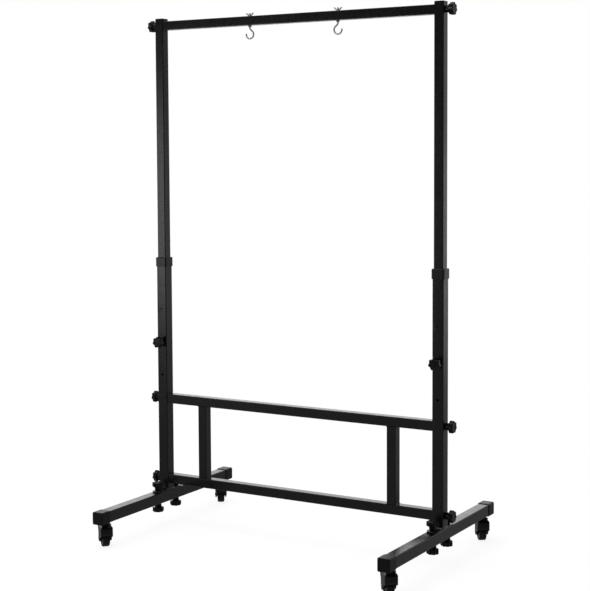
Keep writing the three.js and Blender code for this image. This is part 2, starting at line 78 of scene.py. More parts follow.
RECORD = frame["record"]
BODY_OF_NODE = {node: body for body, nodes in RECORD["behaviour"]["bodies"].items() for node in nodes}
SLOT_OF_NODE = {row["node"]: row["material_slot"] for row in RECORD["subparts"]}
JOINTS = {joint["name"]: joint for joint in frame["joints"]}


class Operation(Enum):
    """What a Math node makes of two levels, with Blender's name for it."""

    PRODUCT = "MULTIPLY"
    LARGER = "MAXIMUM"


class Run(Enum):
    """The way that a straight piece runs, with the index of its world axis."""

    ACROSS = 0
    REARWARD = 1
    UPRIGHT = 2


# Places


def seated(origin: Vector, axis: Vector, side: Vector) -> Matrix:
    """Gives the place of a workpiece whose own Z and X lie along two directions.

    Args:
        origin: Where the workpiece's own origin goes, in millimetres.
        axis: Direction of its own Z.
        side: Direction of its own X, square to the axis.

    Returns:
        The matrix from the workpiece to the stand.
    """
    up = axis.normalized()
    right = side.normalized()
    rear = up.cross(right)
    turned = Matrix((right, rear, up)).transposed().to_4x4()
    return Matrix.Translation(origin) @ turned


def node_box(node: str) -> tuple[Vector, Vector]:
    """Gives a CAD node's lowest and highest corner in millimetres."""
    low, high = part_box(node)
    return low / MM, high / MM


def node_middle(node: str) -> Vector:
    """Gives the middle of a CAD node's box in millimetres."""
    low, high = node_box(node)
    return (low + high) / 2


def joint_line(name: str) -> tuple[Vector, Vector]:
    """Gives a joint's place in millimetres and its direction."""
    joint = JOINTS[name]
    return Vector(joint["pos_m"]) / MM, Vector(joint["axis"]).normalized()


def joint_place(name: str) -> Vector:
    """Gives a joint's place in millimetres."""
    return joint_line(name)[0]


def reach_along(node: str, axis: Vector) -> float:
    """Gives how far a CAD node's box reaches along a world axis, in millimetres."""
    low, high = node_box(node)
    return max(low.dot(axis), high.dot(axis))


# Sections and workpieces


def full_turn(count: int) -> Iterator[float]:
    """Gives the angles of evenly spaced points round a section, in radians."""
    return (math.tau * index / count for index in range(count))


def polar(radius: float, angle: float) -> Vector:
    """Gives the point at a radius and an angle round a section's middle."""
    return Vector((radius * math.cos(angle), radius * math.sin(angle), 0.0))


@dataclass(frozen=True)
class Round:
    """A round section."""

    radius: float

    def points(self, count: int) -> Iterator[Vector]:
        """Gives the outline's points, in order round the section."""
        return (polar(self.radius, angle) for angle in full_turn(count))


@dataclass(frozen=True)
class Square:
    """A square section with rounded corners."""

    width: float
    corner: float
    sharpest: float = 0.2

    def points(self, count: int) -> Iterator[Vector]:
        """Gives the outline's points, with a quarter of them on each corner.

        Args:
            count: Number of points, a multiple of 4.

        Returns:
            The points, in order round the section.
        """
        inner = self.width / 2 - self.corner
        per_corner = count // 4
        for quarter in range(4):
            middle = math.radians(45 + 90 * quarter)
            across, along = (math.copysign(inner, turn(middle)) for turn in (math.cos, math.sin))
            centre = Vector((across, along, 0.0))
            for step in range(per_corner):
                angle = middle + math.radians(90 * step / (per_corner - 1) - 45)
                yield centre + polar(self.corner, angle)

    def inset(self, distance: float) -> "Square":
        """Gives the same section drawn in by a distance."""
        return Square(self.width - 2 * distance, max(self.corner - distance, self.sharpest))

    def rounded_top(self, edge: float) -> "list[Ring]":
        """Gives the rings of a rounded edge of a radius, which ends at height 0."""
        return [(self.inset(inset), rise - edge) for inset, rise in rounding(edge, EDGE_STEPS)]


@dataclass(frozen=True)
class Stadium:
    """A section with two round ends, long in Y."""

    radius: float
    half_spacing: float

    def points(self, count: int) -> Iterator[Vector]:
        """Gives the outline's points, half of them on each round end.

        Args:
            count: Number of points, an even one.

        Returns:
            The points, in order round the section.
        """
        half = count // 2
        for end, shift in enumerate((self.half_spacing, -self.half_spacing)):
            for step in range(half):
                angle = math.pi * (end + step / (half - 1))
                yield Vector((self.radius * math.cos(angle), self.radius * math.sin(angle) + shift, 0.0))


@dataclass(frozen=True)
class Lobed:
    """A star knob's section, which swings in and out round its mean radius."""

    mean: float
    swing: float
    lobes: int

    def points(self, count: int) -> Iterator[Vector]:
        """Gives the outline's points."""
        for angle in full_turn(count):
            yield polar(self.mean + self.swing * math.cos(self.lobes * angle), angle)


@dataclass(frozen=True)
class Hexagon:
    """A nut's six-sided section, cut off by a circle at its corners."""

    flats: float
    corners: float

    def points(self, count: int) -> Iterator[Vector]:
        """Gives the outline's points.

        Args:
            count: Number of points.

        Returns:
            The points, in order round the section.
        """
        half_side = math.pi / 6
        for angle in full_turn(count):
            from_flat = (angle + half_side) % (math.pi / 3) - half_side
            yield polar(min(self.flats / 2 / math.cos(from_flat), self.corners / 2), angle)


Section = Round | Square | Stadium | Lobed | Hexagon
Ring = tuple[Section, float]
Profile = list[tuple[float, float]]


def rounding(radius: float, steps: int) -> list[tuple[float, float]]:
    """Gives the inset and the rise of each step of a rounded edge.

    Args:
        radius: Radius of the edge in millimetres.
        steps: Number of flats on it.

    Returns:
        Pairs of inset and rise, from the side of the piece to its top.
    """
    angles = [math.pi / 2 * step / steps for step in range(steps + 1)]
    return [(radius * (1 - math.cos(angle)), radius * math.sin(angle)) for angle in angles]


class Workpiece:
    """A closed shell being shaped in millimetres, ring by ring along its own Z."""

    # Edges round a hole, half the square cleared for it as a share of its radius,
    # and how far apart the points of its seam may lie as a share of the wall
    hole_sides = 24
    hole_margin = 1.3
    seam_share = 0.05

    def __init__(self, count: int = 24) -> None:
        """Starts an empty piece whose rings have a given number of points.

        Args:
            count: Number of points of a ring.
        """
        self.mesh = bmesh.new()
        self.count = count
        self.ring: list[BMVert] = []
        self.first_edges: list[BMEdge] = []

    def ring_edges(self) -> list[BMEdge]:
        """Gives the edges of the open ring."""
        following = self.ring[1:] + self.ring[:1]
        return [self.mesh.edges.get(pair) for pair in zip(self.ring, following)]

    def start(self, section: Section, place: Matrix) -> None:
        """Sets the first ring.

        Args:
            section: Outline of the ring.
            place: Where the ring lies.
        """
        made = bmesh.ops.create_circle(self.mesh, cap_ends=False, segments=self.count, radius=1.0)
        self.ring = list(made["verts"])
        self.lay_ring(section, place)
        self.first_edges = self.ring_edges()

    def lay_ring(self, section: Section, place: Matrix) -> None:
        """Moves the points of the open ring to an outline."""
        for vertex, point in zip(self.ring, section.points(self.count)):
            vertex.co = place @ point

    def grow(self, section: Section, place: Matrix) -> None:
        """Extrudes the open ring to another outline.

        Args:
            section: Outline of the new ring.
            place: Where the new ring lies.
        """
        made = bmesh.ops.extrude_edge_only(self.mesh, edges=self.ring_edges())
        fresh = {item for item in made["geom"] if isinstance(item, BMVert)}
        following = []
        for vertex in self.ring:
            others = (edge.other_vert(vertex) for edge in vertex.link_edges)
            following += [other for other in others if other in fresh]
        self.ring = following
        self.lay_ring(section, place)

    def lay(self, section: Section, place: Matrix) -> None:
        """Adds a ring, which is the first one of an empty piece."""
        (self.grow if self.ring else self.start)(section, place)

    def run(self, rings: Sequence[Ring], joined: bool = False) -> "Workpiece":
        """Runs a shell through rings along Z.

        Args:
            rings: Outline and height of each ring.
            joined: Whether the last ring joins the first, or both are closed by a face.

        Returns:
            The workpiece itself.
        """
        for section, height in rings:
            self.lay(section, Matrix.Translation((0.0, 0.0, height)))
        self.close(joined)
        return self

    def close(self, joined: bool = False) -> None:
        """Closes the shell, by joining its last ring to its first or by a face in each.

        Args:
            joined: Whether the last ring joins the first.
        """
        if joined:
            bmesh.ops.bridge_loops(self.mesh, edges=self.first_edges + self.ring_edges())
        else:
            bmesh.ops.edgeloop_fill(self.mesh, edges=self.first_edges)
            bmesh.ops.edgeloop_fill(self.mesh, edges=self.ring_edges())
        bmesh.ops.recalc_face_normals(self.mesh, faces=self.mesh.faces)

    def move(self, place: Matrix) -> "Workpiece":
        """Moves the whole piece and gives it back.

        Args:
            place: The matrix to move it by.

        Returns:
            The workpiece itself.
        """
        bmesh.ops.transform(self.mesh, matrix=place, verts=self.mesh.verts)
        if place.determinant() < 0:
            bmesh.ops.recalc_face_normals(self.mesh, faces=self.mesh.faces)
        return self

    def add(self, other: "Workpiece") -> None:
        """Takes in another finished shell as a shell of the same piece.

        Args:
            other: The finished shell, which is used up.
        """
        spare = bpy.data.meshes.new("spare")
        other.mesh.to_mesh(spare)
        self.mesh.from_mesh(spare)
        bpy.data.meshes.remove(spare)
        other.mesh.free()

    def cut_round(self, centre: Vector, normal: Vector, radius: float) -> list[BMEdge]:
        """Cuts a round opening in a flat face.

        Args:
            centre: Middle of the opening, on the face.
            normal: Direction that the face looks.
            radius: Radius of the opening.

        Returns:
            The edges round the opening.
        """
        across = normal.orthogonal().normalized()
        along = normal.cross(across)
        margin = self.hole_margin * radius
        for direction in (across, -across, along, -along):
            self.slice(self.faces_on(centre, normal), centre + direction * margin, direction)
        inside = []
        for face in self.faces_on(centre, normal):
            offset = face.calc_center_median() - centre
            if abs(offset.dot(across)) < margin and abs(offset.dot(along)) < margin:
                inside.append(face)
        if len(inside) > 1:
            inside = bmesh.ops.dissolve_faces(self.mesh, faces=inside, use_verts=True)["region"]
        rim = list({edge for face in inside for edge in face.edges})
        bmesh.ops.delete(self.mesh, geom=inside, context="FACES_ONLY")
        bmesh.ops.subdivide_edges(self.mesh, edges=rim, cuts=self.hole_sides // 4 - 1)
        edges = []
        for edge in (edge for edge in self.mesh.edges if len(edge.link_faces) == 1):
            offsets = [vertex.co - centre for vertex in edge.verts]
            level = max(abs(offset.dot(normal)) for offset in offsets)
            spread = max(abs(offset.dot(way)) for offset in offsets for way in (across, along))
            if level < ON_FACE and spread < margin + ON_FACE:
                edges.append(edge)
        made = bmesh.ops.extrude_edge_only(self.mesh, edges=edges)
        for vertex in (item for item in made["geom"] if isinstance(item, BMVert)):
            offset = vertex.co - centre
            vertex.co = centre + radius * offset.normalized()
        return [item for item in made["geom"] if isinstance(item, BMEdge) and len(item.link_faces) == 1]

    def slice(self, faces: list[BMFace], point: Vector, normal: Vector) -> None:
        """Cuts some faces along a plane, and keeps both sides.

        Args:
            faces: The faces to cut.
            point: A point on the plane.
            normal: Direction square to the plane.
        """
        parts = {part for face in faces for part in (face, *face.edges, *face.verts)}
        bmesh.ops.bisect_plane(
            self.mesh, geom=list(parts), dist=CUT_TOLERANCE, plane_co=point, plane_no=normal
        )

    def faces_on(self, centre: Vector, normal: Vector) -> list[BMFace]:
        """Gives the faces that lie in a plane.

        Args:
            centre: A point on the plane.
            normal: Direction that the faces look.

        Returns:
            The faces.
        """
        self.mesh.normal_update()
        level = centre.dot(normal)
        flat = [face for face in self.mesh.faces if face.normal.dot(normal) > SAME_DIRECTION]
        return [face for face in flat if abs(face.calc_center_median().dot(normal) - level) < ON_FACE]

    def bore(self, centre: Vector, normal: Vector, radius: float, wall: float) -> None:
        """Bores a round hole through a flat wall.

        Args:
            centre: Middle of the hole on the outer face.
            normal: Direction that the outer face looks.
            radius: Radius of the hole.
            wall: Thickness of the wall.
        """
        outer = self.cut_round(centre, normal, radius)
        inner = self.cut_round(centre - normal * wall, -normal, radius)
        made = bmesh.ops.extrude_edge_only(self.mesh, edges=outer)
        sunk = [item for item in made["geom"] if isinstance(item, BMVert)]
        bmesh.ops.translate(self.mesh, verts=sunk, vec=-normal * wall)
        seam = sunk + list({vertex for edge in inner for vertex in edge.verts})
        bmesh.ops.remove_doubles(self.mesh, verts=seam, dist=self.seam_share * wall)


def lathe(profile: Profile, count: int, joined: bool = False) -> Workpiece:
    """Turns a piece round its own Z.

    Args:
        profile: Radius and height of each ring.
        count: Number of points of a ring.
        joined: Whether the last ring joins the first, or both are closed by a face.

    Returns:
        The finished shell.
    """
    return Workpiece(count).run([(Round(radius), height) for radius, height in profile], joined)


def both_sides(below: Profile) -> Profile:
    """Gives a profile with its mirror image above height 0."""
    return below + [(radius, -height) for radius, height in reversed(below)]


# Finishes


def ranged(
    tree: bpy.types.NodeTree,
    source: bpy.types.NodeSocket,
    reach: tuple[float, float],
    levels: tuple[float, float] = (0.0, 1.0),
    smooth: bool = False,
) -> bpy.types.NodeSocket:
    """Maps a level from one range to another.

    Args:
        tree: The node tree to build in.
        source: The level.
        reach: Where its range begins and ends.
        levels: Where the result's range begins and ends.
        smooth: Whether the result eases in and out.

    Returns:
        The result.
    """
    node = tree.nodes.new("ShaderNodeMapRange")
    if smooth:
        node.interpolation_type = "SMOOTHSTEP"
    for name, level in zip(("From Min", "From Max", "To Min", "To Max"), (*reach, *levels)):
        node.inputs[name].default_value = level
    tree.links.new(source, node.inputs["Value"])
    return node.outputs["Result"]


def combined(
    tree: bpy.types.NodeTree,
    operation: Operation,
    first: bpy.types.NodeSocket,
    second: bpy.types.NodeSocket,
) -> bpy.types.NodeSocket:
    """Combines two levels.

    Args:
        tree: The node tree to build in.
        operation: What to make of them.
        first: The first level.
        second: The second level.

    Returns:
        The result.
    """
    node = tree.nodes.new("ShaderNodeMath")
    node.operation = operation.value
    tree.links.new(first, node.inputs[0])
    tree.links.new(second, node.inputs[1])
    return node.outputs["Value"]


def mixed(
    tree: bpy.types.NodeTree,
    share: bpy.types.NodeSocket,
    first: bpy.types.NodeSocket | float,
    second: bpy.types.NodeSocket | float,
) -> bpy.types.NodeSocket:
    """Mixes two levels, either of which may be a plain number.

    Args:
        tree: The node tree to build in.
        share: Share of the second level.
        first: The first level.
        second: The second level.

    Returns:
        The result.
    """
    node = tree.nodes.new("ShaderNodeMix")
    for name, source in (("Factor", share), ("A", first), ("B", second)):
        if isinstance(source, float):
            node.inputs[name].default_value = source
        else:
            tree.links.new(source, node.inputs[name])
    return node.outputs["Result"]


def linear(level: float) -> float:
    """Turns a screen level from 0 to 255 into a linear one."""
    share = level / 255
    return share / 12.92 if share <= 0.04045 else ((share + 0.055) / 1.055) ** 2.4


def linear_colour(levels: Sequence[float]) -> tuple[float, float, float, float]:
    """Turns three screen levels into a linear colour."""
    red, green, blue = (linear(level) for level in levels)
    return red, green, blue, 1.0


class FinishNodes:
    """The node tree of a finish under way, in the object's own coordinates."""

    # Where a noise pattern begins and ends, and the number of finer layers in a roughness pattern
    pattern_range = (0.3, 0.7)
    sheen_detail = 3.0

    def __init__(self, name: str) -> None:
        """Starts a material with one shader.

        Args:
            name: Name of the material.
        """
        self.material = bpy.data.materials.new(name)
        self.material.use_nodes = True
        self.tree = self.material.node_tree
        self.shader = self.tree.nodes["Principled BSDF"]
        self.place = self.tree.nodes.new("ShaderNodeTexCoord").outputs["Object"]

    def set_plain(self, **levels: float) -> None:
        """Sets numbers on the shader's own sockets, with _ for each space in a socket's name."""
        for name, level in levels.items():
            self.shader.inputs[name.replace("_", " ")].default_value = level

    def noise(
        self, scale: float, detail: float = 2.0, stretch: Sequence[float] = (1.0, 1.0, 1.0)
    ) -> bpy.types.NodeSocket:
        """Adds a noise pattern.

        Args:
            scale: Number of grains to a metre.
            detail: Number of finer layers.
            stretch: Scale along each axis.

        Returns:
            The pattern's level.
        """
        mapping = self.tree.nodes.new("ShaderNodeMapping")
        mapping.inputs["Scale"].default_value = stretch
        self.tree.links.new(self.place, mapping.inputs["Vector"])
        node = self.tree.nodes.new("ShaderNodeTexNoise")
        node.inputs["Scale"].default_value = scale
        node.inputs["Detail"].default_value = detail
        self.tree.links.new(mapping.outputs["Vector"], node.inputs["Vector"])
        return node.outputs["Fac"]

    def spread(self, source: bpy.types.NodeSocket, low: float, high: float) -> bpy.types.NodeSocket:
        """Spreads a pattern between two levels."""
        return ranged(self.tree, source, self.pattern_range, (low, high))

    def tint(
        self, source: bpy.types.NodeSocket, low: Sequence[float], high: Sequence[float]
    ) -> bpy.types.NodeSocket:
        """Gives a colour between two, by a pattern.

        Args:
            source: The pattern.
            low: Screen levels of the colour where the pattern is low.
            high: Screen levels of the colour where it is high.

        Returns:
            The colour.
        """
        node = self.tree.nodes.new("ShaderNodeValToRGB")
        for stop, position, levels in zip(node.color_ramp.elements, self.pattern_range, (low, high)):
            stop.position = position
            stop.color = linear_colour(levels)
        self.tree.links.new(source, node.inputs["Fac"])
        return node.outputs["Color"]

    def relief(self, source: bpy.types.NodeSocket, depth: float) -> None:
        """Adds a fine relief to the shader, over any that is there.

        Args:
            source: The pattern.
            depth: Depth of the relief in metres.
        """
        node = self.tree.nodes.new("ShaderNodeBump")
        node.inputs["Distance"].default_value = depth
        node.inputs["Strength"].default_value = 1.0
        self.tree.links.new(source, node.inputs["Height"])
        links = self.shader.inputs["Normal"].links
        if links:
            self.tree.links.new(links[0].from_socket, node.inputs["Normal"])
        self.tree.links.new(node.outputs["Normal"], self.shader.inputs["Normal"])

    def vary(self, finish: "PowderCoat | MouldedPlastic | PlatedSteel", shade_detail: float) -> None:
        """Feeds the shader a finish's colour and roughness, each with a slow pattern.

        Args:
            finish: The finish.
            shade_detail: Number of finer layers in its colour's pattern.
        """
        shade = self.noise(finish.shade_per_metre, shade_detail)
        self.feed("Base Color", self.tint(shade, finish.dark, finish.light))
        sheen = self.noise(finish.sheen_per_metre, self.sheen_detail)
        self.feed("Roughness", self.spread(sheen, *finish.roughness))

    def feed(self, name: str, source: bpy.types.NodeSocket) -> None:
        """Feeds a pattern to one of the shader's sockets."""
        self.tree.links.new(source, self.shader.inputs[name])


@dataclass(frozen=True)
class PowderCoat:
    """Satin black powder coat on steel, with a fine orange peel."""

    name: str = "satin_powder_coat"
    dark: tuple[float, float, float] = (7, 7, 7)
    light: tuple[float, float, float] = (12, 12, 12)
    roughness: tuple[float, float] = (0.24, 0.31)
    specular: float = 0.5
    peel_per_metre: float = 700.0
    peel_depth: float = 0.000012
    fine_peel_scale: float = 4.0
    fine_peel_divisor: float = 6.0
    shade_per_metre: float = 9.0
    sheen_per_metre: float = 60.0

    def material(self) -> bpy.types.Material:
        """Builds the finish.

        Returns:
            The material.
        """
        nodes = FinishNodes(self.name)
        nodes.set_plain(Metallic=0.0, Specular_IOR_Level=self.specular)
        nodes.vary(self, 3.0)
        nodes.relief(nodes.noise(self.peel_per_metre, 1.0), self.peel_depth)
        fine = nodes.noise(self.peel_per_metre * self.fine_peel_scale, 1.0)
        nodes.relief(fine, self.peel_depth / self.fine_peel_divisor)
        return nodes.material


@dataclass(frozen=True)
class MouldedPlastic:
    """Black moulded plastic with a spark-eroded grain."""

    name: str
    dark: tuple[float, float, float]
    light: tuple[float, float, float]
    roughness: tuple[float, float]
    specular: float
    grain_per_metre: float
    grain_depth: float
    shade_per_metre: float = 30.0
    sheen_per_metre: float = 140.0

    def material(self) -> bpy.types.Material:
        """Builds the finish.

        Returns:
            The material.
        """
        nodes = FinishNodes(self.name)
        nodes.set_plain(Metallic=0.0, Specular_IOR_Level=self.specular)
        nodes.vary(self, 2.0)
        nodes.relief(nodes.noise(self.grain_per_metre, 2.0), self.grain_depth)
        return nodes.material


@dataclass(frozen=True)
class PlatedSteel:
    """Plated steel with a faint drawn grain."""

    name: str
    dark: tuple[float, float, float]
    light: tuple[float, float, float]
    roughness: tuple[float, float]
    shade_per_metre: float = 120.0
    sheen_per_metre: float = 400.0
    grain_per_metre: float = 900.0
    grain_depth: float = 0.00003
    grain_stretch: tuple[float, float, float] = (1.0, 1.0, 0.2)

    def material(self) -> bpy.types.Material:
        """Builds the finish.

        Returns:
            The material.
        """
        nodes = FinishNodes(self.name)
        nodes.set_plain(Metallic=1.0)
        nodes.vary(self, 4.0)
        nodes.relief(nodes.noise(self.grain_per_metre, 2.0, self.grain_stretch), self.grain_depth)
        return nodes.material


class Finishes:
    """Every finish of the stand, built once."""

    def __init__(self) -> None:
        """Builds the materials."""
        self.coat = PowderCoat().material()
        self.cap = self.moulded("cap_plastic", (4, 7), (0.36, 0.46), 0.3, (1600, 0.00002))
        self.collar = self.moulded("collar_plastic", (9, 13), (0.3, 0.4), 0.45, (1600, 0.00002))
        self.knob = self.moulded("knob_plastic", (3, 5), (0.3, 0.38), 0.3, (1400, 0.00001))
        self.nylon = self.moulded("fork_nylon", (2, 4), (0.2, 0.28), 0.35, (1200, 0.00001))
        self.rubber = self.moulded("tread_rubber", (7, 11), (0.42, 0.55), 0.35, (2200, 0.00003))
        self.zinc = PlatedSteel("bright_zinc", (196, 197, 199), (218, 219, 220), (0.38, 0.48)).material()
        self.dark_steel = PlatedSteel("black_zinc", (45, 45, 46), (62, 62, 63), (0.32, 0.42)).material()

    def moulded(
        self,
        name: str,
        greys: tuple[float, float],
        roughness: tuple[float, float],
        specular: float,
        grain: tuple[float, float],
    ) -> bpy.types.Material:
        """Builds a moulded finish between two greys.

        Args:
            name: Name of the finish.
            greys: Screen levels of its darkest and its lightest grey.
            roughness: Its lowest and its highest roughness.
            specular: Strength of its mirroring.
            grain: Number of grains to a metre, and their depth in metres.

        Returns:
            The material.
        """
        dark, light = ((grey,) * 3 for grey in greys)
        return MouldedPlastic(name, dark, light, roughness, specular, *grain).material()


# Handing over


def hand_over(
    work: Workpiece,
    name: str,
    node: str,
    material: bpy.types.Material,
    stands_for: bool = True,
    sharp: float = 32.0,
    slot: Optional[str] = None,
    rounded: float = 0.0,
) -> None:
    """Turns a workpiece in millimetres into a piece of the stand.

    Args:
        work: The finished shells, in the stand's own place.
        name: Name of the piece.
        node: CAD node whose body it rides on.
        material: Its finish.
        stands_for: Whether it stands for that node.
        sharp: Angle in degrees past which an edge stays sharp.
        slot: Slot of the record, where it isn't the node's. Not used.
        rounded: Radius in millimetres to round its remaining sharp edges to.
    """
    bmesh.ops.transform(work.mesh, matrix=Matrix.Scale(MM, 4), verts=work.mesh.verts)
    for face in work.mesh.faces:
        face.smooth = True
    mesh = bpy.data.meshes.new(name)
    work.mesh.to_mesh(mesh)
    work.mesh.free()
    mesh.set_sharp_from_angle(angle=math.radians(sharp))
    mesh.materials.append(material)
    piece = bpy.data.objects.new(name, mesh)
    bpy.context.scene.collection.objects.link(piece)
    if rounded:
        edges = piece.modifiers.new("edges", "BEVEL")
        edges.width = rounded * MM
        edges.segments = 2
        edges.limit_method = "ANGLE"
        edges.angle_limit = math.radians(sharp)
        edges.use_clamp_overlap = True
    weighting = piece.modifiers.new("flats", "WEIGHTED_NORMAL")
    weighting.keep_sharp = True
    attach(piece, BODY_OF_NODE[node])
    slot or SLOT_OF_NODE[node]
    if stands_for:
        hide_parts(node)
    LOG.info("%s: %d faces, on %s", name, len(mesh.polygons), BODY_OF_NODE[node])


# Tubes


@dataclass
class Bore:
    """A round hole through one wall of a tube, in the stand's own place."""

    centre: Vector
    normal: Vector
    radius: float


@dataclass
class SquareTube:
    """A square steel tube that runs as long as its CAD node."""

    node: str
    run: Run
    width: float
    wall: float
    corner: float
    end_plate: float = 0.0
    stud_hole: float = 4.3
    bores: tuple[Bore, ...] = ()
    corner_points: int = 6

    def shape(self) -> Workpiece:
        """Runs the tube's skin out and back inside, with plates in its ends where it has them.

        Returns:
            The tube, in its place.
        """
        low, high = node_box(self.node)
        axis = self.run.value
        length = high[axis] - low[axis]
        outside = Square(self.width, self.corner)
        inside = Square(self.width - 2 * self.wall, self.corner - self.wall)
        if self.end_plate:
            hole = Round(self.stud_hole)
            near, far = self.end_plate, length - self.end_plate
            rings: list[Ring] = [
                (hole, 0.0), (outside, 0.0), (outside, length), (hole, length),
                (hole, far), (inside, far), (inside, near), (hole, near),
            ]
        else:
            rings = [(outside, 0.0), (outside, length), (inside, length), (inside, 0.0)]
        work = Workpiece(4 * self.corner_points).run(rings, joined=True)
        start = (low + high) / 2
        start[axis] = low[axis]
        work.move(seated(start, WORLD_AXES[axis], WORLD_AXES[(axis + 1) % 3]))
        for bore in self.bores:
            work.bore(bore.centre, bore.normal, bore.radius, self.wall)
        return work

    def build(self, finishes: Finishes) -> None:
        """Builds the tube in powder coat."""
        hand_over(self.shape(), f"{self.node}_steel", self.node, finishes.coat)


# Feet


@dataclass
class Foot:
    """A foot: its tube, its two end caps and the holes for its casters and bolts."""

    side: str
    width: float = 38.0
    wall: float = 2.0
    corner: float = 3.0
    stem_hole: float = 5.3
    bolt_hole: float = 4.3
    cap_width: float = 42.0
    cap_length: float = 42.0
    cap_floor: float = 3.0
    cap_edge: float = 2.2
    cap_pocket: float = 38.6
    cap_corner: float = 4.5
    notch_radius: float = 10.7
    notch_cuts: int = 10
    pocket_corner: float = 3.3
    mouth_chamfer: float = 0.5
    mouth_flare: float = 0.4
    mouth_reach: float = 0.6

    def bores(self) -> tuple[Bore, ...]:
        """Places the holes of the tube at the casters and the bolts.

        Returns:
            The holes.
        """
        low, high = node_box(f"{self.side}_foot_tube")
        made = []
        for end in ENDS:
            stem = joint_place(f"{self.side}_{end}_caster_turn")
            bolt = joint_place(f"{self.side}_{end}_base_knob_turn")
            made.append(Bore(Vector((stem.x, stem.y, low.z)), -UP, self.stem_hole))
            made.append(Bore(Vector((bolt.x, bolt.y, low.z)), -UP, self.bolt_hole))
            made.append(Bore(Vector((bolt.x, bolt.y, high.z)), UP, self.bolt_hole))
        return tuple(made)

    def cap(self, end: str) -> Workpiece:
        """Shapes a cup-shaped cap with a rounded end and a notch round the caster's neck.

        Args:
            end: Which end of the foot it closes.

        Returns:
            The cap, in its place.
        """
        node = f"{self.side}_{end}_foot_cap"
        outside = Square(self.cap_width, self.cap_corner)
        pocket = Square(self.cap_pocket, self.pocket_corner)
        mouth, chamfer = -self.cap_length, self.mouth_chamfer
        rings: list[Ring] = [(pocket, -self.cap_floor), (pocket, mouth + chamfer)]
        rings += [(pocket.inset(-self.mouth_flare), mouth), (outside.inset(chamfer), mouth)]
        rings += [(outside, mouth + chamfer), *outside.rounded_top(self.cap_edge)]
        work = Workpiece().run(rings)
        outward = Vector((0, ENDS[end], 0))
        middle = node_middle(node)
        origin = Vector((middle.x, outward.y * reach_along(node, outward), middle.z))
        work.move(seated(origin, outward, RIGHT))
        neck = joint_place(f"{self.side}_{end}_caster_turn")
        self.notch(work, origin - outward * self.cap_length, outward, Vector((neck.x, neck.y, origin.z)))
        return work

    def notch(self, work: Workpiece, mouth: Vector, outward: Vector, neck: Vector) -> None:
        """Draws the cap's lower lip back in a half circle round the caster's neck.

        Args:
            work: The cap.
            mouth: Middle of its open end.
            outward: Direction from its open end to its closed one.
            neck: A point on the caster's turning axis.
        """
        gap = (mouth - neck).dot(outward)
        reach = math.sqrt(self.notch_radius**2 - gap**2)
        lip_top = mouth.z - self.cap_width / 2 + self.cap_width / 8
        for index in range(self.notch_cuts + 1):
            across = neck.x + reach * (2 * index / self.notch_cuts - 1)
            lip = [face for face in work.mesh.faces if face.calc_center_median().z < lip_top]
            work.slice(lip, Vector((across, 0, 0)), RIGHT)
        for vertex in work.mesh.verts:
            offset = abs(vertex.co.x - neck.x)
            near_mouth = (vertex.co - mouth).dot(outward) < self.mouth_reach
            if near_mouth and vertex.co.z < lip_top and offset < reach:
                vertex.co += outward * (math.sqrt(self.notch_radius**2 - offset**2) - gap)

    def build(self, finishes: Finishes) -> None:
        """Builds the tube and its two caps.

        Args:
            finishes: Every finish of the stand.
        """
        tube = f"{self.side}_foot_tube"
        sizes = self.width, self.wall, self.corner
        SquareTube(tube, Run.REARWARD, *sizes, bores=self.bores()).build(finishes)
        for end in ENDS:
            node = f"{self.side}_{end}_foot_cap"
            hand_over(self.cap(end), f"{node}_shell", node, finishes.cap)


# Uprights


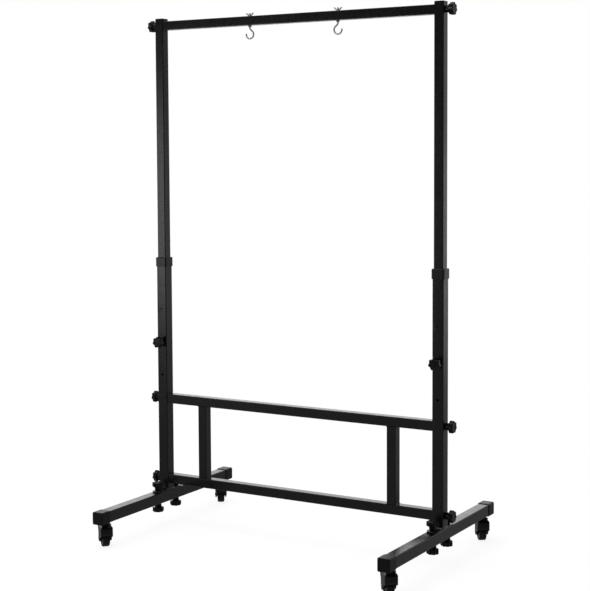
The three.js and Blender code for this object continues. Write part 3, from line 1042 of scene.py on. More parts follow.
@dataclass
class Upright:
    """One upright: base plate, lower tube, collar, upper tube and top cap."""

    side: str
    lower_width: float = 38.0
    lower_corner: float = 3.0
    upper_width: float = 32.0
    upper_corner: float = 2.5
    wall: float = 1.5
    stud_hole: float = 4.3
    adjusting_pitch: float = 115.0
    plate_radius: float = 19.0
    plate_edge: float = 0.6
    plate_points: int = 48
    weld: float = 3.0
    collar_width: float = 44.0
    collar_corner: float = 5.5
    collar_edge: float = 2.5
    collar_lip: float = 3.0
    collar_height: float = 32.0
    sleeve_width: float = 34.4
    sleeve_depth: float = 40.0
    passage_width: float = 32.6
    cap_lip: float = 2.0
    cap_dome: float = 2.5
    cap_dome_inset: float = 4.0
    cap_plug: float = 12.0
    dome_steps: int = 6
    clearance: float = 0.3
    chamfer: float = 0.5

    def axis_point(self, height: float) -> Vector:
        """Gives the point at a height on the upright's centre line."""
        middle = node_middle(f"{self.side}_lower_tube")
        return Vector((middle.x, middle.y, height))

    def side_bores(self, joint: str, width: float) -> list[Bore]:
        """Places a hole in each side of a tube at a joint's height."""
        middle = self.axis_point(joint_place(f"{self.side}_{joint}_turn").z)
        return [Bore(middle + way * width / 2, way, self.stud_hole) for way in (RIGHT, -RIGHT)]

    def lower_tube(self) -> SquareTube:
        """Plans the lower tube with its adjusting holes in front and its rail holes.

        Returns:
            The tube, ready to be built.
        """
        half = self.lower_width / 2
        front = -REAR
        knob = joint_place(f"{self.side}_height_knob_turn")
        made = []
        for step in (-1, 0, 1):
            height = knob.z + step * self.adjusting_pitch
            made.append(Bore(self.axis_point(height) + front * half, front, self.stud_hole))
        for rail in ("lower", "upper"):
            made += self.side_bores(f"{rail}_rail_knob", self.lower_width)
        sizes = self.lower_width, self.wall, self.lower_corner
        return SquareTube(f"{self.side}_lower_tube", Run.UPRIGHT, *sizes, bores=tuple(made))

    def upper_tube(self) -> SquareTube:
        """Plans the upper tube with the holes of the crossbar's stud.

        Returns:
            The tube, ready to be built.
        """
        made = self.side_bores("crossbar_knob", self.upper_width)
        sizes = self.upper_width, self.wall, self.upper_corner
        return SquareTube(f"{self.side}_upper_tube", Run.UPRIGHT, *sizes, bores=tuple(made))

    def base_plate(self) -> Workpiece:
        """Shapes the round-ended plate, with its two bolt holes.

        Returns:
            The plate, in its place.
        """
        low, high = node_box(f"{self.side}_base_plate")
        thickness = high.z - low.z
        bolt = joint_place(f"{self.side}_rear_base_knob_turn")
        edge = self.plate_edge
        wide, narrow = (Stadium(radius, bolt.y) for radius in (self.plate_radius, self.plate_radius - edge))
        rings = [(narrow, 0.0), (wide, edge), (wide, thickness - edge), (narrow, thickness)]
        work = Workpiece(self.plate_points).run(rings).move(Matrix.Translation(self.axis_point(low.z)))
        for way in (-1, 1):
            centre = self.axis_point(high.z) + Vector((0, way * bolt.y, 0))
            work.bore(centre, UP, self.stud_hole, thickness)
        return work

    def weld_bead(self) -> Workpiece:
        """Shapes the fillet weld that runs round the foot of the lower tube.

        Returns:
            The bead, in its place.
        """
        _, high = node_box(f"{self.side}_base_plate")
        tube = Square(self.lower_width, self.lower_corner)
        weld = self.weld
        section = [
            (0.2, 0.05), (-weld, 0.05), (-weld * 0.8, 0.8),
            (-weld * 0.35, weld * 0.55), (-0.3, weld), (0.2, weld),
        ]
        rings = [(tube.inset(inset), height) for inset, height in section]
        return Workpiece().run(rings, joined=True).move(Matrix.Translation(self.axis_point(high.z)))

    def collar(self) -> Workpiece:
        """Shapes the guide collar: a skirt outside, a lip on top and a sleeve down inside.

        Returns:
            The collar, in its place.
        """
        _, high = node_box(f"{self.side}_collar")
        outside = Square(self.collar_width, self.collar_corner)
        passage = Square(self.passage_width, self.upper_corner)
        pocket = Square(self.lower_width + 2 * self.clearance, self.lower_corner + self.clearance)
        sleeve = Square(self.sleeve_width, self.lower_corner - self.wall)
        foot, roof = -self.collar_height, -self.collar_lip
        sleeve_foot = roof - self.sleeve_depth
        rings: list[Ring] = [(outside.inset(self.chamfer), foot), (outside, foot + self.chamfer)]
        rings += outside.rounded_top(self.collar_edge)
        rings += [(passage.inset(-0.8), 0.0), (passage.inset(-0.25), -0.25), (passage, -0.8)]
        rings += [(passage, sleeve_foot), (sleeve, sleeve_foot), (sleeve, roof)]
        rings += [(pocket, roof), (pocket, foot)]
        return Workpiece().run(rings, joined=True).move(Matrix.Translation(self.axis_point(high.z)))

    def top_cap(self) -> Workpiece:
        """Shapes the domed plug of the upper tube.

        Returns:
            The cap, in its place.
        """
        _, high = node_box(f"{self.side}_top_cap")
        lip = Square(self.upper_width, self.upper_corner)
        plug_width = self.upper_width - 2 * self.wall - 2 * self.clearance
        plug = Square(plug_width, self.upper_corner - self.wall)
        rings: list[Ring] = [(plug.inset(0.6), -self.cap_plug), (plug, -self.cap_plug + 1), (plug, 0.0)]
        rings += [(lip.inset(0.3), 0.0), (lip, 0.3)]
        for step in range(self.dome_steps + 1):
            angle = math.pi / 2 * step / self.dome_steps
            inset = self.cap_dome_inset * (1 - math.cos(angle))
            rings.append((lip.inset(inset), self.cap_lip + self.cap_dome * math.sin(angle)))
        place = Matrix.Translation(self.axis_point(high.z - self.cap_lip - self.cap_dome))
        return Workpiece().run(rings).move(place)

    def build(self, finishes: Finishes) -> None:
        """Builds every piece of the upright.

        Args:
            finishes: Every finish of the stand.
        """
        self.lower_tube().build(finishes)
        self.upper_tube().build(finishes)
        plate = f"{self.side}_base_plate"
        hand_over(self.base_plate(), f"{plate}_steel", plate, finishes.coat)
        hand_over(self.weld_bead(), f"{self.side}_upright_weld", plate, finishes.coat, stands_for=False)
        collar, cap = f"{self.side}_collar", f"{self.side}_top_cap"
        hand_over(self.collar(), f"{collar}_moulding", collar, finishes.collar)
        hand_over(self.top_cap(), f"{cap}_moulding", cap, finishes.cap)


# Brace and crossbar


@dataclass
class Brace:
    """The low frame between the uprights: two rails and two welded stiles."""

    width: float = 32.0
    wall: float = 1.5
    corner: float = 2.5
    end_plate: float = 5.0
    bead: float = 1.6
    bead_points: int = 12
    bead_steps: int = 3

    def weld(self, side: str) -> Workpiece:
        """Shapes the weld beads along both sides of a stile, at both its ends.

        Args:
            side: Side of the stile.

        Returns:
            The beads, in their places.
        """
        low, high = node_box(f"brace_{side}_stile")
        half_length = self.width / 2 - self.corner
        end = rounding(self.bead, self.bead_steps)
        profile = [(self.bead - inset, -half_length - rise) for inset, rise in end[::-1]]
        profile += [(self.bead - inset, half_length + rise) for inset, rise in end]
        work = Workpiece(self.bead_points)
        for face in (low.x - self.bead / 3, high.x + self.bead / 3):
            for height in (low.z, high.z):
                bead = lathe(profile, self.bead_points)
                bead.move(seated(Vector((face, 0, height)), REAR, RIGHT))
                work.add(bead)
        return work

    def build(self, finishes: Finishes) -> None:
        """Builds the rails, the stiles and their welds.

        Args:
            finishes: Every finish of the stand.
        """
        for rail in ("brace_lower_rail", "brace_upper_rail"):
            SquareTube(rail, Run.ACROSS, self.width, self.wall, self.corner, self.end_plate).build(finishes)
        for side in SIDES:
            node = f"brace_{side}_stile"
            SquareTube(node, Run.UPRIGHT, self.width, self.wall, self.corner).build(finishes)
            hand_over(self.weld(side), f"{node}_welds", node, finishes.coat, stands_for=False)


@dataclass
class Crossbar:
    """The bar across the top, bored for the two hook bolts."""

    width: float = 30.0
    wall: float = 1.5
    corner: float = 2.5
    end_plate: float = 5.0
    hook_hole: float = 3.3

    def build(self, finishes: Finishes) -> None:
        """Builds the bar.

        Args:
            finishes: Every finish of the stand.
        """
        low, high = node_box("crossbar")
        made = []
        for side in SIDES:
            line = joint_place(f"{side}_hook_turn")
            made.append(Bore(Vector((line.x, line.y, high.z)), UP, self.hook_hole))
            made.append(Bore(Vector((line.x, line.y, low.z)), -UP, self.hook_hole))
        sizes = self.width, self.wall, self.corner, self.end_plate
        SquareTube("crossbar", Run.ACROSS, *sizes, bores=tuple(made)).build(finishes)


# Threads and star knobs


# Depth of a thread and place of its crest as shares of its pitch, and the chamfer at its ends
THREAD_DEPTH = 0.55
THREAD_CREST = (0.4, 0.55)
THREAD_TIP_INSET = 0.3
THREAD_TIP_RISE = 0.4


def thread_rings(radius: float, pitch: float, low: float, high: float) -> list[Ring]:
    """Gives the rings of a threaded rod with chamfered ends.

    Args:
        radius: Outer radius of the thread.
        pitch: Distance from one crest to the next.
        low: Height of its lower end.
        high: Height of its upper end.

    Returns:
        Its rings, from the lower end to the upper one.
    """
    root = radius - THREAD_DEPTH * pitch
    tip = root - THREAD_TIP_INSET
    turns = int((high - low - 2 * pitch) / pitch)
    start = low + (high - low - turns * pitch) / 2
    profile = [(tip, low), (root, low + THREAD_TIP_RISE)]
    for turn in range(turns):
        height = start + turn * pitch
        profile += [(root, height), *((radius, height + share * pitch) for share in THREAD_CREST)]
    profile += [(root, start + turns * pitch), (root, high - THREAD_TIP_RISE), (tip, high)]
    return [(Round(reach), height) for reach, height in profile]


@dataclass
class StarKnob:
    """A seven-lobed star knob, with a threaded stud or with a blind bore that runs on another knob's stud."""

    node: str
    has_stud: bool
    radius: float = 20.0
    waist: float = 16.5
    lobes: int = 7
    head: float = 16.0
    edge: float = 3.0
    hub_top: float = 12.0
    hub_foot: float = 10.5
    height: float = 30.0
    stud_radius: float = 4.0
    stud_pitch: float = 1.25
    bore_radius: float = 4.3
    bore_depth: float = 22.0
    dish_radius: float = 11.0
    dish_depth: float = 0.9
    points: int = 84
    stud_points: int = 16
    stud_gap: float = 0.03
    lobe_fade: float = 12.0

    def place(self) -> tuple[Matrix, Vector, float]:
        """Gives the knob's place, its axis and its seat along that axis.

        Returns:
            The matrix from the knob to the stand, the axis, and the seat in millimetres.
        """
        line, axis = joint_line(f"{self.node}_turn")
        seat = reach_along(self.node, axis) - self.height
        origin = line + axis * (seat - line.dot(axis))
        side = UP if abs(axis.z) < 0.5 else RIGHT
        return seated(origin, axis, side), axis, seat

    def grip(self) -> Workpiece:
        """Shapes the plastic body: bore, hub, lobed head with rounded edges and a dished top.

        Returns:
            The body, with its foot at height 0.
        """
        bore = self.stud_radius + self.stud_gap if self.has_stud else self.bore_radius
        under, top, dish = self.height - self.head, self.height, self.dish_radius
        foot = [(bore, self.bore_depth), (bore, 0.5), (bore + 0.5, 0.0), (self.hub_foot - 0.6, 0.0)]
        foot += [(self.hub_foot, 0.6), (self.hub_top, under - 1.4), (self.hub_top + 0.5, under - 0.4)]
        foot += [(self.hub_top + 1.5, under)]
        crown = [(dish + 0.8, top), (dish, top - 0.3), (dish - 0.5, top - self.dish_depth)]
        crown += [(dish * 0.6, top - self.dish_depth * 0.8), (dish * 0.2, top - self.dish_depth * 0.62)]
        rings: list[Ring] = [(Round(radius), height) for radius, height in foot]
        below, above = rounding(self.edge, EDGE_STEPS - 1)[::-1], rounding(self.edge, EDGE_STEPS)
        rings += [(self.lobed(inset), under + self.edge - rise) for inset, rise in below]
        rings += [(self.lobed(inset), top - self.edge + rise) for inset, rise in above]
        rings += [(Round(radius), height) for radius, height in crown]
        return Workpiece(self.points).run(rings)

    def lobed(self, inset: float) -> Lobed:
        """Gives the head's section drawn in by a distance, with its lobes a little shallower."""
        mean, swing = (self.radius + self.waist) / 2, (self.radius - self.waist) / 2
        return Lobed(mean - inset, swing * (1 - inset / self.lobe_fade), self.lobes)

    def build(self, finishes: Finishes) -> None:
        """Builds the grip and, where it has one, its stud.

        Args:
            finishes: Every finish of the stand.
        """
        place, axis, seat = self.place()
        hand_over(self.grip().move(place), f"{self.node}_grip", self.node, finishes.knob, sharp=40)
        if self.has_stud:
            foot = -reach_along(self.node, -axis) - seat
            rings = thread_rings(self.stud_radius, self.stud_pitch, foot, self.bore_depth - 1)
            stud = Workpiece(self.stud_points).run(rings).move(place)
            name = f"{self.node}_stud"
            hand_over(stud, name, self.node, finishes.zinc, stands_for=False, slot="zinc_steel")


# Casters


@dataclass
class Caster:
    """A swivel caster: mount with its race, hooded fork, axle and wheel."""

    side: str
    end: str
    wheel_radius: float = 30.0
    tread: float = 24.0
    rim_radius: float = 22.4
    hub_radius: float = 8.0
    hub_width: float = 30.0
    dish_radius: float = 20.4
    axle_hole: float = 3.3
    axle_radius: float = 3.0
    axle_head_radius: float = 5.5
    axle_head_height: float = 1.5
    fork_inner: float = 15.5
    fork_plate: float = 5.0
    fork_top: float = 75.0
    fork_top_thickness: float = 9.0
    fork_tail: float = 18.0
    fork_nose: float = 46.0
    web_bottom: float = 44.0
    shoulder_height: float = 50.0
    eye_radius: float = 12.0
    waist: tuple[tuple[float, float], ...] = ((33.5, 40.0), (34.0, 48.0), (36.5, 55.0), (40.5, 60.0))
    hood_radius: float = 9.5
    fork_edge: float = 0.9
    shoulder: float = 4.0
    race_radius: float = 17.0
    race_height: float = 5.0
    neck_radius: float = 9.5
    stem_radius: float = 5.0
    pin_radius: float = 4.0
    pin_hole: float = 4.3
    pin_head_radius: float = 7.0
    pin_head_height: float = 2.5
    clearance: float = 0.3
    eye_steps: int = 8
    hood_steps: int = 7
    core_recess: float = 1.4
    core_gap: float = 0.05
    race_points: int = 32
    tread_points: int = 72
    core_points: int = 48

    @property
    def stem_name(self) -> str:
        """The beginning of the names of this caster's pieces."""
        return f"{self.side}_{self.end}_caster"

    @property
    def turn_point(self) -> Vector:
        """A point on the axis that the fork turns about."""
        return joint_place(f"{self.stem_name}_turn")

    @property
    def axle_point(self) -> Vector:
        """The middle of the axle."""
        return joint_place(f"{self.side}_{self.end}_wheel_spin")

    @property
    def trail(self) -> float:
        """The distance from the turning axis to the axle."""
        wheel, turn = self.axle_point, self.turn_point
        return math.hypot(wheel.x - turn.x, wheel.y - turn.y)

    @property
    def outer(self) -> float:
        """The distance of the fork's outer sides from its middle."""
        return self.fork_inner + self.fork_plate

    @property
    def crown_foot(self) -> float:
        """The height of the underside of the fork's crown."""
        return self.fork_top - self.fork_top_thickness

    def swivel_place(self) -> Matrix:
        """Gives the place of the fork, whose own X points to the wheel and whose Z is 0 on the floor.

        Returns:
            The matrix from the fork to the stand.
        """
        wheel, turn = self.axle_point, self.turn_point
        behind = Vector((wheel.x - turn.x, wheel.y - turn.y, 0))
        return seated(Vector((turn.x, turn.y, 0)), UP, behind)

    def wheel_place(self) -> Matrix:
        """Gives the place of the wheel, with its own Z along the axle."""
        wheel, axle = joint_line(f"{self.side}_{self.end}_wheel_spin")
        return seated(wheel, axle, UP)

    def mount(self) -> Workpiece:
        """Shapes the stem, the neck, the two pressed plates of the race and the king pin with its head.

        Returns:
            The mount, in its place.
        """
        low, high = node_box(f"{self.stem_name}_mount")
        head, pin = self.pin_head_radius, self.pin_radius
        head_top = low.z + self.pin_head_height
        race = self.fork_top + self.clearance
        race_top = race + self.race_height
        neck_top = node_box(f"{self.side}_foot_tube")[0].z - self.clearance
        wide, neck, stem = self.race_radius, self.neck_radius, self.stem_radius
        profile = [
            (head - 1.2, low.z), (head - 0.4, low.z + 0.5), (head, head_top - 0.6), (head - 0.3, head_top),
            (pin, head_top), (pin, race), (wide - 1.6, race), (wide - 1.0, race + 0.5),
            (wide - 0.9, race + 1.5), (wide - 1.6, race + 1.9), (wide - 2.0, race + 2.2),
            (wide - 1.2, race + 2.4), (wide - 0.2, race + 2.7), (wide, race + 3.4), (wide - 0.4, race + 4.2),
            (wide - 1.6, race_top - 0.2), (wide - 3.0, race_top), (neck, race_top), (neck, neck_top - 0.5),
            (neck - 0.5, neck_top), (stem, neck_top), (stem, high.z - 0.8), (stem - 0.8, high.z),
        ]
        middle = self.turn_point
        return lathe(profile, self.race_points).move(Matrix.Translation((middle.x, middle.y, 0)))

    def fork_outline(self, work: Workpiece) -> tuple[BMFace, BMFace, BMFace]:
        """Draws the side of the fork in three faces: its crown, the edge of its front web and its leg.

        Args:
            work: The workpiece to draw in.

        Returns:
            The crown's face, the web's face and the leg's face.
        """
        trail, axle_height, crown_foot = self.trail, self.axle_point.z, self.crown_foot
        slope = (self.fork_top - crown_foot) / (self.fork_top - self.shoulder_height)
        nose_at_foot = self.fork_nose - self.fork_plate + self.fork_plate * slope
        tail_foot, nose_foot = (-self.fork_tail, crown_foot), (nose_at_foot, crown_foot)
        web_back = self.fork_plate - self.fork_tail
        fall = (self.web_bottom - axle_height) / (trail - self.eye_radius + self.fork_tail)
        back_top, back_bottom = (web_back, crown_foot), (web_back, self.web_bottom - fall * self.fork_plate)
        crown = [
            (self.fork_nose - self.fork_plate, self.fork_top), (-self.fork_tail, self.fork_top),
            tail_foot, back_top, nose_foot,
        ]
        web = [tail_foot, (-self.fork_tail, self.web_bottom), back_bottom, back_top]
        leg = [nose_foot, back_top, back_bottom]
        for step in range(self.eye_steps + 1):
            angle = math.pi + math.pi * step / self.eye_steps
            along, rise = self.eye_radius * math.cos(angle), self.eye_radius * math.sin(angle)
            leg.append((trail + along, axle_height + rise))
        leg += self.waist
        made: dict[tuple[float, float], BMVert] = {}
        for along, height in crown + web + leg:
            if (along, height) not in made:
                made[along, height] = work.mesh.verts.new((along, self.outer, height))
        outlines = ([made[point] for point in outline] for outline in (crown, web, leg))
        crown_face, web_face, leg_face = (work.mesh.faces.new(outline) for outline in outlines)
        return crown_face, web_face, leg_face

    def fork(self) -> Workpiece:
        """Shapes the hooded fork: one side drawn, extruded inwards, mirrored, rounded and bored.

        Returns:
            The fork, in its place.
        """
        work = Workpiece()
        made = bmesh.ops.extrude_face_region(work.mesh, geom=list(self.fork_outline(work)))
        moved = [item for item in made["geom"] if isinstance(item, BMVert)]
        bmesh.ops.translate(work.mesh, verts=moved, vec=-REAR * self.fork_plate)
        self.close_middle(work, [item for item in made["geom"] if isinstance(item, BMFace)])
        everything = [*work.mesh.verts, *work.mesh.edges, *work.mesh.faces]
        bmesh.ops.mirror(
            work.mesh, geom=everything, matrix=Matrix.Identity(4), merge_dist=SAME_PLACE, axis="Y"
        )
        bmesh.ops.recalc_face_normals(work.mesh, faces=work.mesh.faces)
        self.merge_flat(work)
        self.round_hood(work)
        self.merge_flat(work)
        work.bore(UP * self.fork_top, UP, self.pin_hole, self.fork_top_thickness)
        for way in (-1, 1):
            eye = Vector((self.trail, way * self.outer, self.axle_point.z))
            work.bore(eye, Vector((0, way, 0)), self.axle_hole, self.fork_plate)
        return work.move(self.swivel_place())

    def close_middle(self, work: Workpiece, inner: list[BMFace]) -> None:
        """Carries the crown and the front web on to the fork's middle and opens them there.

        Args:
            work: The half fork.
            inner: Faces of its side, some of them on its inner side.
        """
        web_back = self.fork_plate - self.fork_tail
        carried = []
        for face in inner:
            centre = face.calc_center_median()
            on_inner_side = abs(centre.y - self.fork_inner) < SAME_PLACE
            if on_inner_side and (centre.z > self.crown_foot or centre.x < web_back):
                carried.append(face)
        made = bmesh.ops.extrude_face_region(work.mesh, geom=carried)
        moved = [item for item in made["geom"] if isinstance(item, BMVert)]
        left = [face for face in carried if face.is_valid]
        bmesh.ops.delete(work.mesh, geom=left, context="FACES")
        bmesh.ops.translate(work.mesh, verts=moved, vec=-REAR * self.fork_inner)
        middle = [face for face in work.mesh.faces if abs(face.calc_center_median().y) < SAME_PLACE]
        bmesh.ops.delete(work.mesh, geom=middle, context="FACES")

    def merge_flat(self, work: Workpiece) -> None:
        """Merges faces that lie in one plane."""
        mesh = work.mesh
        bmesh.ops.dissolve_limit(mesh, angle_limit=FLAT_ANGLE, verts=mesh.verts, edges=mesh.edges)

    def round_hood(self, work: Workpiece) -> None:
        """Rounds the outer edges of the crown's top and of the front web.

        Args:
            work: The whole fork.
        """
        hood = []
        for edge in work.mesh.edges:
            ends = [vertex.co for vertex in edge.verts]
            outside = all(abs(abs(end.y) - self.outer) < SAME_PLACE for end in ends)
            on_top = all(end.z > self.fork_top - SAME_PLACE for end in ends)
            in_front = all(end.x < SAME_PLACE - self.fork_tail for end in ends)
            if outside and (on_top or in_front):
                hood.append(edge)
        bmesh.ops.bevel(
            work.mesh, geom=hood, offset=self.hood_radius, offset_type="OFFSET", segments=self.hood_steps,
            profile=0.5, affect="EDGES", material=-1, clamp_overlap=False,
        )

    def tyre(self) -> Workpiece:
        """Shapes the rubber tread with its rounded shoulders.

        Returns:
            The tread, in its place.
        """
        half, rim, outer = self.tread / 2, self.rim_radius + self.core_gap, self.wheel_radius
        below = [(rim, self.core_recess - half), (rim + 0.6, 0.6 - half), (rim + 1.8, -half)]
        for inset, rise in rounding(self.shoulder, EDGE_STEPS):
            below.append((outer - self.shoulder + rise, inset - half))
        return lathe(both_sides(below), self.tread_points, joined=True).move(self.wheel_place())

    def hub(self) -> Workpiece:
        """Shapes the wheel's dished plastic core with its long hub.

        Returns:
            The core, in its place.
        """
        half, hub, rim, dish = self.hub_width / 2, self.hub_radius, self.rim_radius, self.dish_radius
        hole, face = self.axle_hole, self.core_recess - self.tread / 2
        below = [
            (hole, 0.5 - half), (hole + 0.5, -half), (hub - 0.7, -half), (hub, 0.7 - half), (hub, face + 0.4),
            (hub + 1.2, face + 1.4), (dish - 1.4, face + 1.4), (dish, face), (rim, face),
        ]
        return lathe(both_sides(below), self.core_points, joined=True).move(self.wheel_place())

    def axle(self) -> Workpiece:
        """Shapes the axle bolt, with a domed head on one side and a nut on the other.

        Returns:
            The axle, in its place.
        """
        seat = self.outer + self.clearance
        end = seat + self.axle_head_height
        head, shank = self.axle_head_radius, self.axle_radius
        nut = Hexagon(1.8 * head, 2 * head)
        bolt = [(head * 0.4, -end), (head * 0.75, 0.25 - end), (head * 0.95, 0.8 - end)]
        bolt += [(head, 0.2 - seat - 0.4), (head, -seat), (shank, -seat), (shank, seat)]
        rings: list[Ring] = [(Round(radius), height) for radius, height in bolt]
        rings += [(nut, seat), (nut, end - 0.5), (Round(0.84 * head), end)]
        return Workpiece(self.core_points).run(rings).move(self.wheel_place())

    def build(self, finishes: Finishes) -> None:
        """Builds every piece of the caster.

        Args:
            finishes: Every finish of the stand.
        """
        name = self.stem_name
        wheel = f"{name}_wheel"
        hand_over(self.mount(), f"{name}_mount_race", f"{name}_mount", finishes.dark_steel)
        hand_over(
            self.fork(), f"{name}_fork_shell", f"{name}_fork", finishes.nylon, rounded=self.fork_edge
        )
        LOG.info("%s turns with its wheel %.1f mm behind", name, self.trail)
        hand_over(self.axle(), f"{name}_axle_bolt", f"{name}_axle", finishes.zinc)
        hand_over(self.tyre(), f"{wheel}_tread", wheel, finishes.rubber)
        hand_over(
            self.hub(), f"{wheel}_core", wheel, finishes.nylon, stands_for=False, slot="caster_plastic"
        )


# Hooks


@dataclass
class Hanger:
    """An open hook bolt through the crossbar, with its nut below and its wing nut above."""

    side: str
    wire: float = 2.6
    bend: float = 14.2
    drop: float = 29.0
    mouth_half_angle: float = 78.0
    bend_steps: int = 28
    tip_turns: tuple[float, ...] = (25, 50, 72)
    swan_steps: int = 10
    swan_handle: float = 9.0
    thread_radius: float = 3.0
    thread_pitch: float = 1.0
    above_bar: float = 11.0
    below_bar: float = 7.6
    neck_gap: float = 0.2
    thread_hole: float = 3.1
    nut_flats: float = 10.0
    nut_corners: float = 11.4
    nut_height: float = 5.0
    nut_face_share: float = 0.48
    nut_points: int = 48
    wire_points: int = 20
    hub_points: int = 32
    hub_radius: float = 6.2
    hub_top_radius: float = 4.8
    hub_height: float = 7.0
    ear_stations: tuple[tuple[float, float, float, float], ...] = (
        (4.0, 3.4, 2.8, 1.5), (6.5, 4.6, 2.9, 1.3), (9.0, 6.6, 3.2, 1.2), (11.5, 8.6, 3.4, 1.15),
        (13.3, 9.4, 2.8, 1.05), (14.4, 9.7, 1.9, 0.8), (14.95, 9.8, 0.8, 0.4),
    )

    def wire_stations(self, bar: float) -> Iterator[tuple[Vector, Vector, float]]:
        """Gives the wire's line from its tip, round the bend and up the swan neck to the bar.

        Args:
            bar: Height of the crossbar's section.

        Returns:
            The point, the direction and the radius of each station.
        """
        centre = Vector((0, 0, -bar - self.drop))
        inset = math.degrees(math.asin(self.wire / self.bend))
        tip, last = -self.mouth_half_angle - inset, self.mouth_half_angle - 360
        for step in range(self.bend_steps + 1):
            angle = math.radians(tip + (last - tip) * step / self.bend_steps)
            point = centre + self.bend * Vector((math.sin(angle), 0, math.cos(angle)))
            ahead = Vector((-math.cos(angle), 0, math.sin(angle)))
            if step == 0:
                for turn in self.tip_turns:
                    back = self.wire * math.cos(math.radians(turn))
                    yield point - ahead * back, ahead, self.wire * math.sin(math.radians(turn))
            yield point, ahead, self.wire
        top = Vector((0, 0, -bar - self.below_bar))
        first_handle = point + ahead * self.swan_handle
        last_handle = top - Vector((0, 0, self.swan_handle))
        points = (point, first_handle, last_handle, top)
        for step in range(1, self.swan_steps + 1):
            share = step / self.swan_steps
            rest = 1 - share
            weights = (rest**3, 3 * share * rest**2, 3 * share**2 * rest, share**3)
            along = sum((end * weight for end, weight in zip(points, weights)), Vector())
            slope = (first_handle - point) * rest**2 + (last_handle - first_handle) * 2 * share * rest
            yield along, (slope + (top - last_handle) * share**2).normalized(), self.wire

    def hook(self) -> Workpiece:
        """Sweeps the wire along its line and goes on into the threaded shank.

        Returns:
            The hook, in its place.
        """
        low, high = node_box("crossbar")
        bar = high.z - low.z
        work = Workpiece(self.wire_points)
        for point, ahead, radius in self.wire_stations(bar):
            work.lay(Round(radius), seated(point, ahead, REAR))
        foot = -bar - self.below_bar + self.neck_gap
        for section, height in thread_rings(self.thread_radius, self.thread_pitch, foot, self.above_bar):
            work.lay(section, seated(UP * height, UP, REAR))
        work.close()
        return work.move(self.place())

    def place(self) -> Matrix:
        """Gives the place of the hook on top of the bar, its bend towards the middle of the bar."""
        line = joint_place(f"{self.side}_hook_turn")
        return seated(line, UP, Vector((-SIDES[self.side], 0, 0)))

    def nut(self) -> Workpiece:
        """Shapes the nut under the bar.

        Returns:
            The nut, in its place.
        """
        _, high = node_box(f"{self.side}_hook_nut")
        six, hole = Hexagon(self.nut_flats, self.nut_corners), Round(self.thread_hole)
        face, height = Round(self.nut_flats * self.nut_face_share), self.nut_height
        rings = [(hole, -height), (face, -height), (six, 0.5 - height), (six, -0.5), (face, 0.0), (hole, 0.0)]
        line = joint_place(f"{self.side}_hook_turn")
        work = Workpiece(self.nut_points).run(rings, joined=True)
        return work.move(Matrix.Translation((line.x, line.y, high.z)))

    def wing_nut(self) -> Workpiece:
        """Shapes the wing nut: a tapered hub and two rounded ears.

        Returns:
            The wing nut, in its place.
        """
        low, _ = node_box(f"{self.side}_wing_nut")
        hole, foot, top, height = self.thread_hole, self.hub_radius, self.hub_top_radius, self.hub_height
        profile = [
            (hole, 0.0), (foot - 0.5, 0.0), (foot, 0.5), (foot - 0.2, 1.6), (top + 0.3, height - 1.2),
            (top - 0.2, height - 0.3), (top - 0.8, height), (hole, height),
        ]
        work = lathe(profile, self.hub_points, joined=True)
        for way in (-1, 1):
            ear = Workpiece(self.wire_points)
            for reach, middle, tall, thick in self.ear_stations:
                place = seated(Vector((way * reach, 0, middle)), Vector((way, 0, 0)), UP)
                ear.lay(Round(1.0), place @ Matrix.Diagonal((tall, thick, 1, 1)))
            ear.close()
            work.add(ear)
        line = joint_place(f"{self.side}_wing_nut_turn")
        return work.move(Matrix.Translation((line.x, line.y, low.z)))

    def build(self, finishes: Finishes) -> None:
        """Builds the hook, its nut and its wing nut.

        Args:
            finishes: Every finish of the stand.
        """
        for part, work in (("hook", self.hook()), ("hook_nut", self.nut()), ("wing_nut", self.wing_nut())):
            node = f"{self.side}_{part}"
            hand_over(work, f"{node}_zinc", node, finishes.zinc)


# Studio


@dataclass(frozen=True)
class Softbox:
    """A soft lamp that looks at a point of the stand."""

    name: str
    place: tuple[float, float, float]
    looks_at: tuple[float, float, float]
    width: float
    height: float
    power: float

    def build(self) -> None:
        """Hangs the lamp."""
        lamp = bpy.data.lights.new(self.name, "AREA")
        lamp.shape = "RECTANGLE"
        lamp.size = self.width
        lamp.size_y = self.height
        lamp.energy = self.power
        holder = bpy.data.objects.new(self.name, lamp)
        bpy.context.scene.collection.objects.link(holder)
        direction = Vector(self.looks_at) - Vector(self.place)
        turned = direction.to_track_quat("-Z", "Y").to_matrix().to_4x4()
        holder.matrix_world = Matrix.Translation(self.place) @ turned


@dataclass(frozen=True)
class Camera:
    """The camera at the photograph's viewing angle, in metres and degrees."""

    azimuth: float = 30.687
    pitch: float = 3.982
    roll: float = -0.285
    distance: float = 4.600672
    sideways: float = 0.002389
    height: float = 1.302869
    lens_pixels: float = 1406.701
    image_height: float = 591.0
    rise_pixels: float = 45.5
    sensor: float = 36.0

    def build(self) -> None:
        """Sets the camera up."""
        around, down, roll = (math.radians(angle) for angle in (self.azimuth, self.pitch, self.roll))
        across, along = math.sin(around), math.cos(around)
        ahead = Vector((-across * math.cos(down), along * math.cos(down), -math.sin(down)))
        level = Vector((along, across, 0))
        above = level.cross(ahead)
        right = level * math.cos(roll) + above * math.sin(roll)
        up = above * math.cos(roll) - level * math.sin(roll)
        ground = Vector((-across, along, 0))
        place = level * self.sideways - ground * self.distance + Vector((0, 0, self.height))
        data = bpy.data.cameras.new("photo_camera")
        data.sensor_width = self.sensor
        data.lens = self.lens_pixels / self.image_height * self.sensor
        data.shift_y = -self.rise_pixels / self.image_height
        holder = bpy.data.objects.new("photo_camera", data)
        holder.matrix_world = Matrix.Translation(place) @ Matrix((right, up, -ahead)).transposed().to_4x4()
        bpy.context.scene.collection.objects.link(holder)
        bpy.context.scene.camera = holder


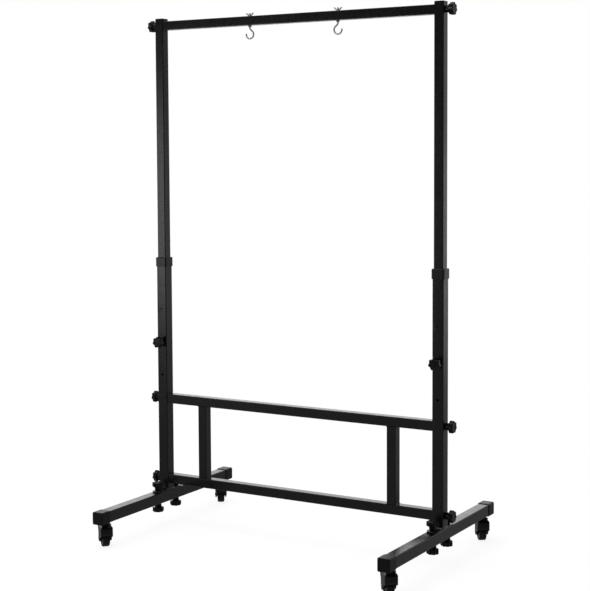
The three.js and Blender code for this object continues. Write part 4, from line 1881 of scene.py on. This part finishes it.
@dataclass(frozen=True)
class Studio:
    """A white room with a pale floor that keeps the stand's shadow."""

    floor_radius: float = 14.0
    floor_level: float = 0.8
    shadow_share: float = 0.25
    fade: tuple[float, float] = (1.6, 3.2)
    fill: float = 0.5
    bright_side: tuple[float, float, float] = (-0.5, 0.87, 0.0)
    dim_side_level: float = 0.04
    bright_from: float = 0.1
    below_level: float = 0.24
    horizon: tuple[float, float] = (-0.2, -0.02)
    near_white: float = 0.86
    lamps: tuple[Softbox, ...] = (
        Softbox("overhead_softbox", (-0.4, -0.6, 3.9), (0, 0, 0.8), 3.0, 3.0, 55.0),
        Softbox("front_left_softbox", (-1.95, -2.5, 1.0), (-0.5, 0, 1.0), 1.3, 1.1, 10.5),
        Softbox("rear_right_softbox", (2.1, 2.6, 0.75), (0.5, 0, 0.8), 1.2, 1.1, 2.2),
        Softbox("rear_left_softbox", (-2.4, 3.6, 1.5), (0, 0, 0.6), 3.4, 1.4, 12.0),
    )

    def floor(self) -> None:
        """Lays the floor, which the camera sees as white but for the shadow on it."""
        mesh = bmesh.new()
        bmesh.ops.create_circle(mesh, cap_ends=True, segments=96, radius=self.floor_radius)
        data = bpy.data.meshes.new("studio_floor")
        mesh.to_mesh(data)
        mesh.free()
        data.materials.append(self.floor_material())
        floor = bpy.data.objects.new("studio_floor", data)
        floor.visible_glossy = False
        bpy.context.scene.collection.objects.link(floor)

    def floor_material(self) -> bpy.types.Material:
        """Shades a pale matte floor, of which seen rays meet a part, on top of plain white.

        The part fades out with the distance from the stand, until the floor is plain white.

        Returns:
            The material.
        """
        material = bpy.data.materials.new("pale_floor")
        material.use_nodes = True
        tree = material.node_tree
        tree.nodes.clear()
        make, link = tree.nodes.new, tree.links.new
        matte = make("ShaderNodeBsdfDiffuse")
        matte.inputs["Color"].default_value = (*(self.floor_level,) * 3, 1)
        white = make("ShaderNodeEmission")
        seen = white_rays(tree, make("ShaderNodeLightPath"))
        distance = make("ShaderNodeVectorMath")
        distance.operation = "LENGTH"
        link(make("ShaderNodeTexCoord").outputs["Object"], distance.inputs[0])
        shares = []
        for near in (1 - self.shadow_share, self.near_white):
            fade = ranged(tree, distance.outputs["Value"], self.fade, (near, 1.0), smooth=True)
            shares.append(combined(tree, Operation.PRODUCT, seen, fade))
        shade = make("ShaderNodeMixShader")
        link(shares[0], shade.inputs[0])
        link(matte.outputs["BSDF"], shade.inputs[1])
        link(shares[1], white.inputs["Strength"])
        both = make("ShaderNodeAddShader")
        link(shade.outputs["Shader"], both.inputs[0])
        link(white.outputs["Emission"], both.inputs[1])
        link(both.outputs["Shader"], make("ShaderNodeOutputMaterial").inputs["Surface"])
        return material

    def world(self) -> None:
        """Sets the room: white where it is seen or mirrored, and a softer fill on matte surfaces."""
        world = bpy.data.worlds.new("white_room")
        world.use_nodes = True
        tree = world.node_tree
        tree.nodes.clear()
        make, link = tree.nodes.new, tree.links.new
        rays = make("ShaderNodeLightPath")
        toward = make("ShaderNodeVectorMath")
        toward.operation = "DOT_PRODUCT"
        toward.inputs[1].default_value = self.bright_side
        direction = make("ShaderNodeTexCoord").outputs["Generated"]
        link(direction, toward.inputs[0])
        bright, dim = (self.bright_from, 1.0), (self.dim_side_level, 1.0)
        mirrored = ranged(tree, toward.outputs["Value"], bright, dim, smooth=True)
        split = make("ShaderNodeSeparateXYZ")
        link(direction, split.inputs["Vector"])
        above = ranged(tree, split.outputs["Z"], self.horizon, smooth=True)
        around = mixed(tree, above, self.below_level, mirrored)
        glossy = mixed(tree, rays.outputs["Is Glossy Ray"], self.fill, around)
        camera, clear = rays.outputs["Is Camera Ray"], rays.outputs["Is Transmission Ray"]
        plain = combined(tree, Operation.LARGER, camera, clear)
        level = mixed(tree, plain, glossy, 1.0)
        room = make("ShaderNodeBackground")
        link(level, room.inputs["Strength"])
        room.inputs["Color"].default_value = (1, 1, 1, 1)
        link(room.outputs["Background"], make("ShaderNodeOutputWorld").inputs["Surface"])
        bpy.context.scene.world = world

    def build(self) -> None:
        """Builds the floor, the room and the lamps."""
        self.floor()
        self.world()
        for lamp in self.lamps:
            lamp.build()
        bpy.context.scene.view_settings.view_transform = "Standard"


def white_rays(tree: bpy.types.NodeTree, rays: bpy.types.Node) -> bpy.types.NodeSocket:
    """Adds up the camera's, mirrored and refracted rays.

    Args:
        tree: The node tree to build in.
        rays: Its Light Path node.

    Returns:
        1 for such a ray and 0 for any other.
    """
    kinds = ("Camera", "Glossy", "Transmission")
    camera, mirrored, refracted = (rays.outputs[f"Is {kind} Ray"] for kind in kinds)
    direct = combined(tree, Operation.LARGER, camera, mirrored)
    return combined(tree, Operation.LARGER, direct, refracted)


def main() -> None:
    """Builds the stand, sub-assembly by sub-assembly, and the studio round it."""
    logging.basicConfig(level=logging.INFO, format="%(name)s: %(message)s")
    Camera().build()
    Studio().build()
    finishes = Finishes()
    for side in SIDES:
        Foot(side).build(finishes)
        Upright(side).build(finishes)
    Brace().build(finishes)
    Crossbar().build(finishes)
    for side in SIDES:
        for place in ("lower_rail", "upper_rail", "crossbar", "height"):
            StarKnob(f"{side}_{place}_knob", has_stud=True).build(finishes)
        for end in ENDS:
            StarKnob(f"{side}_{end}_base_knob", has_stud=True).build(finishes)
            StarKnob(f"{side}_{end}_base_nut_knob", has_stud=False).build(finishes)
            Caster(side, end).build(finishes)
        Hanger(side).build(finishes)


if __name__ == "__main__":
    main()
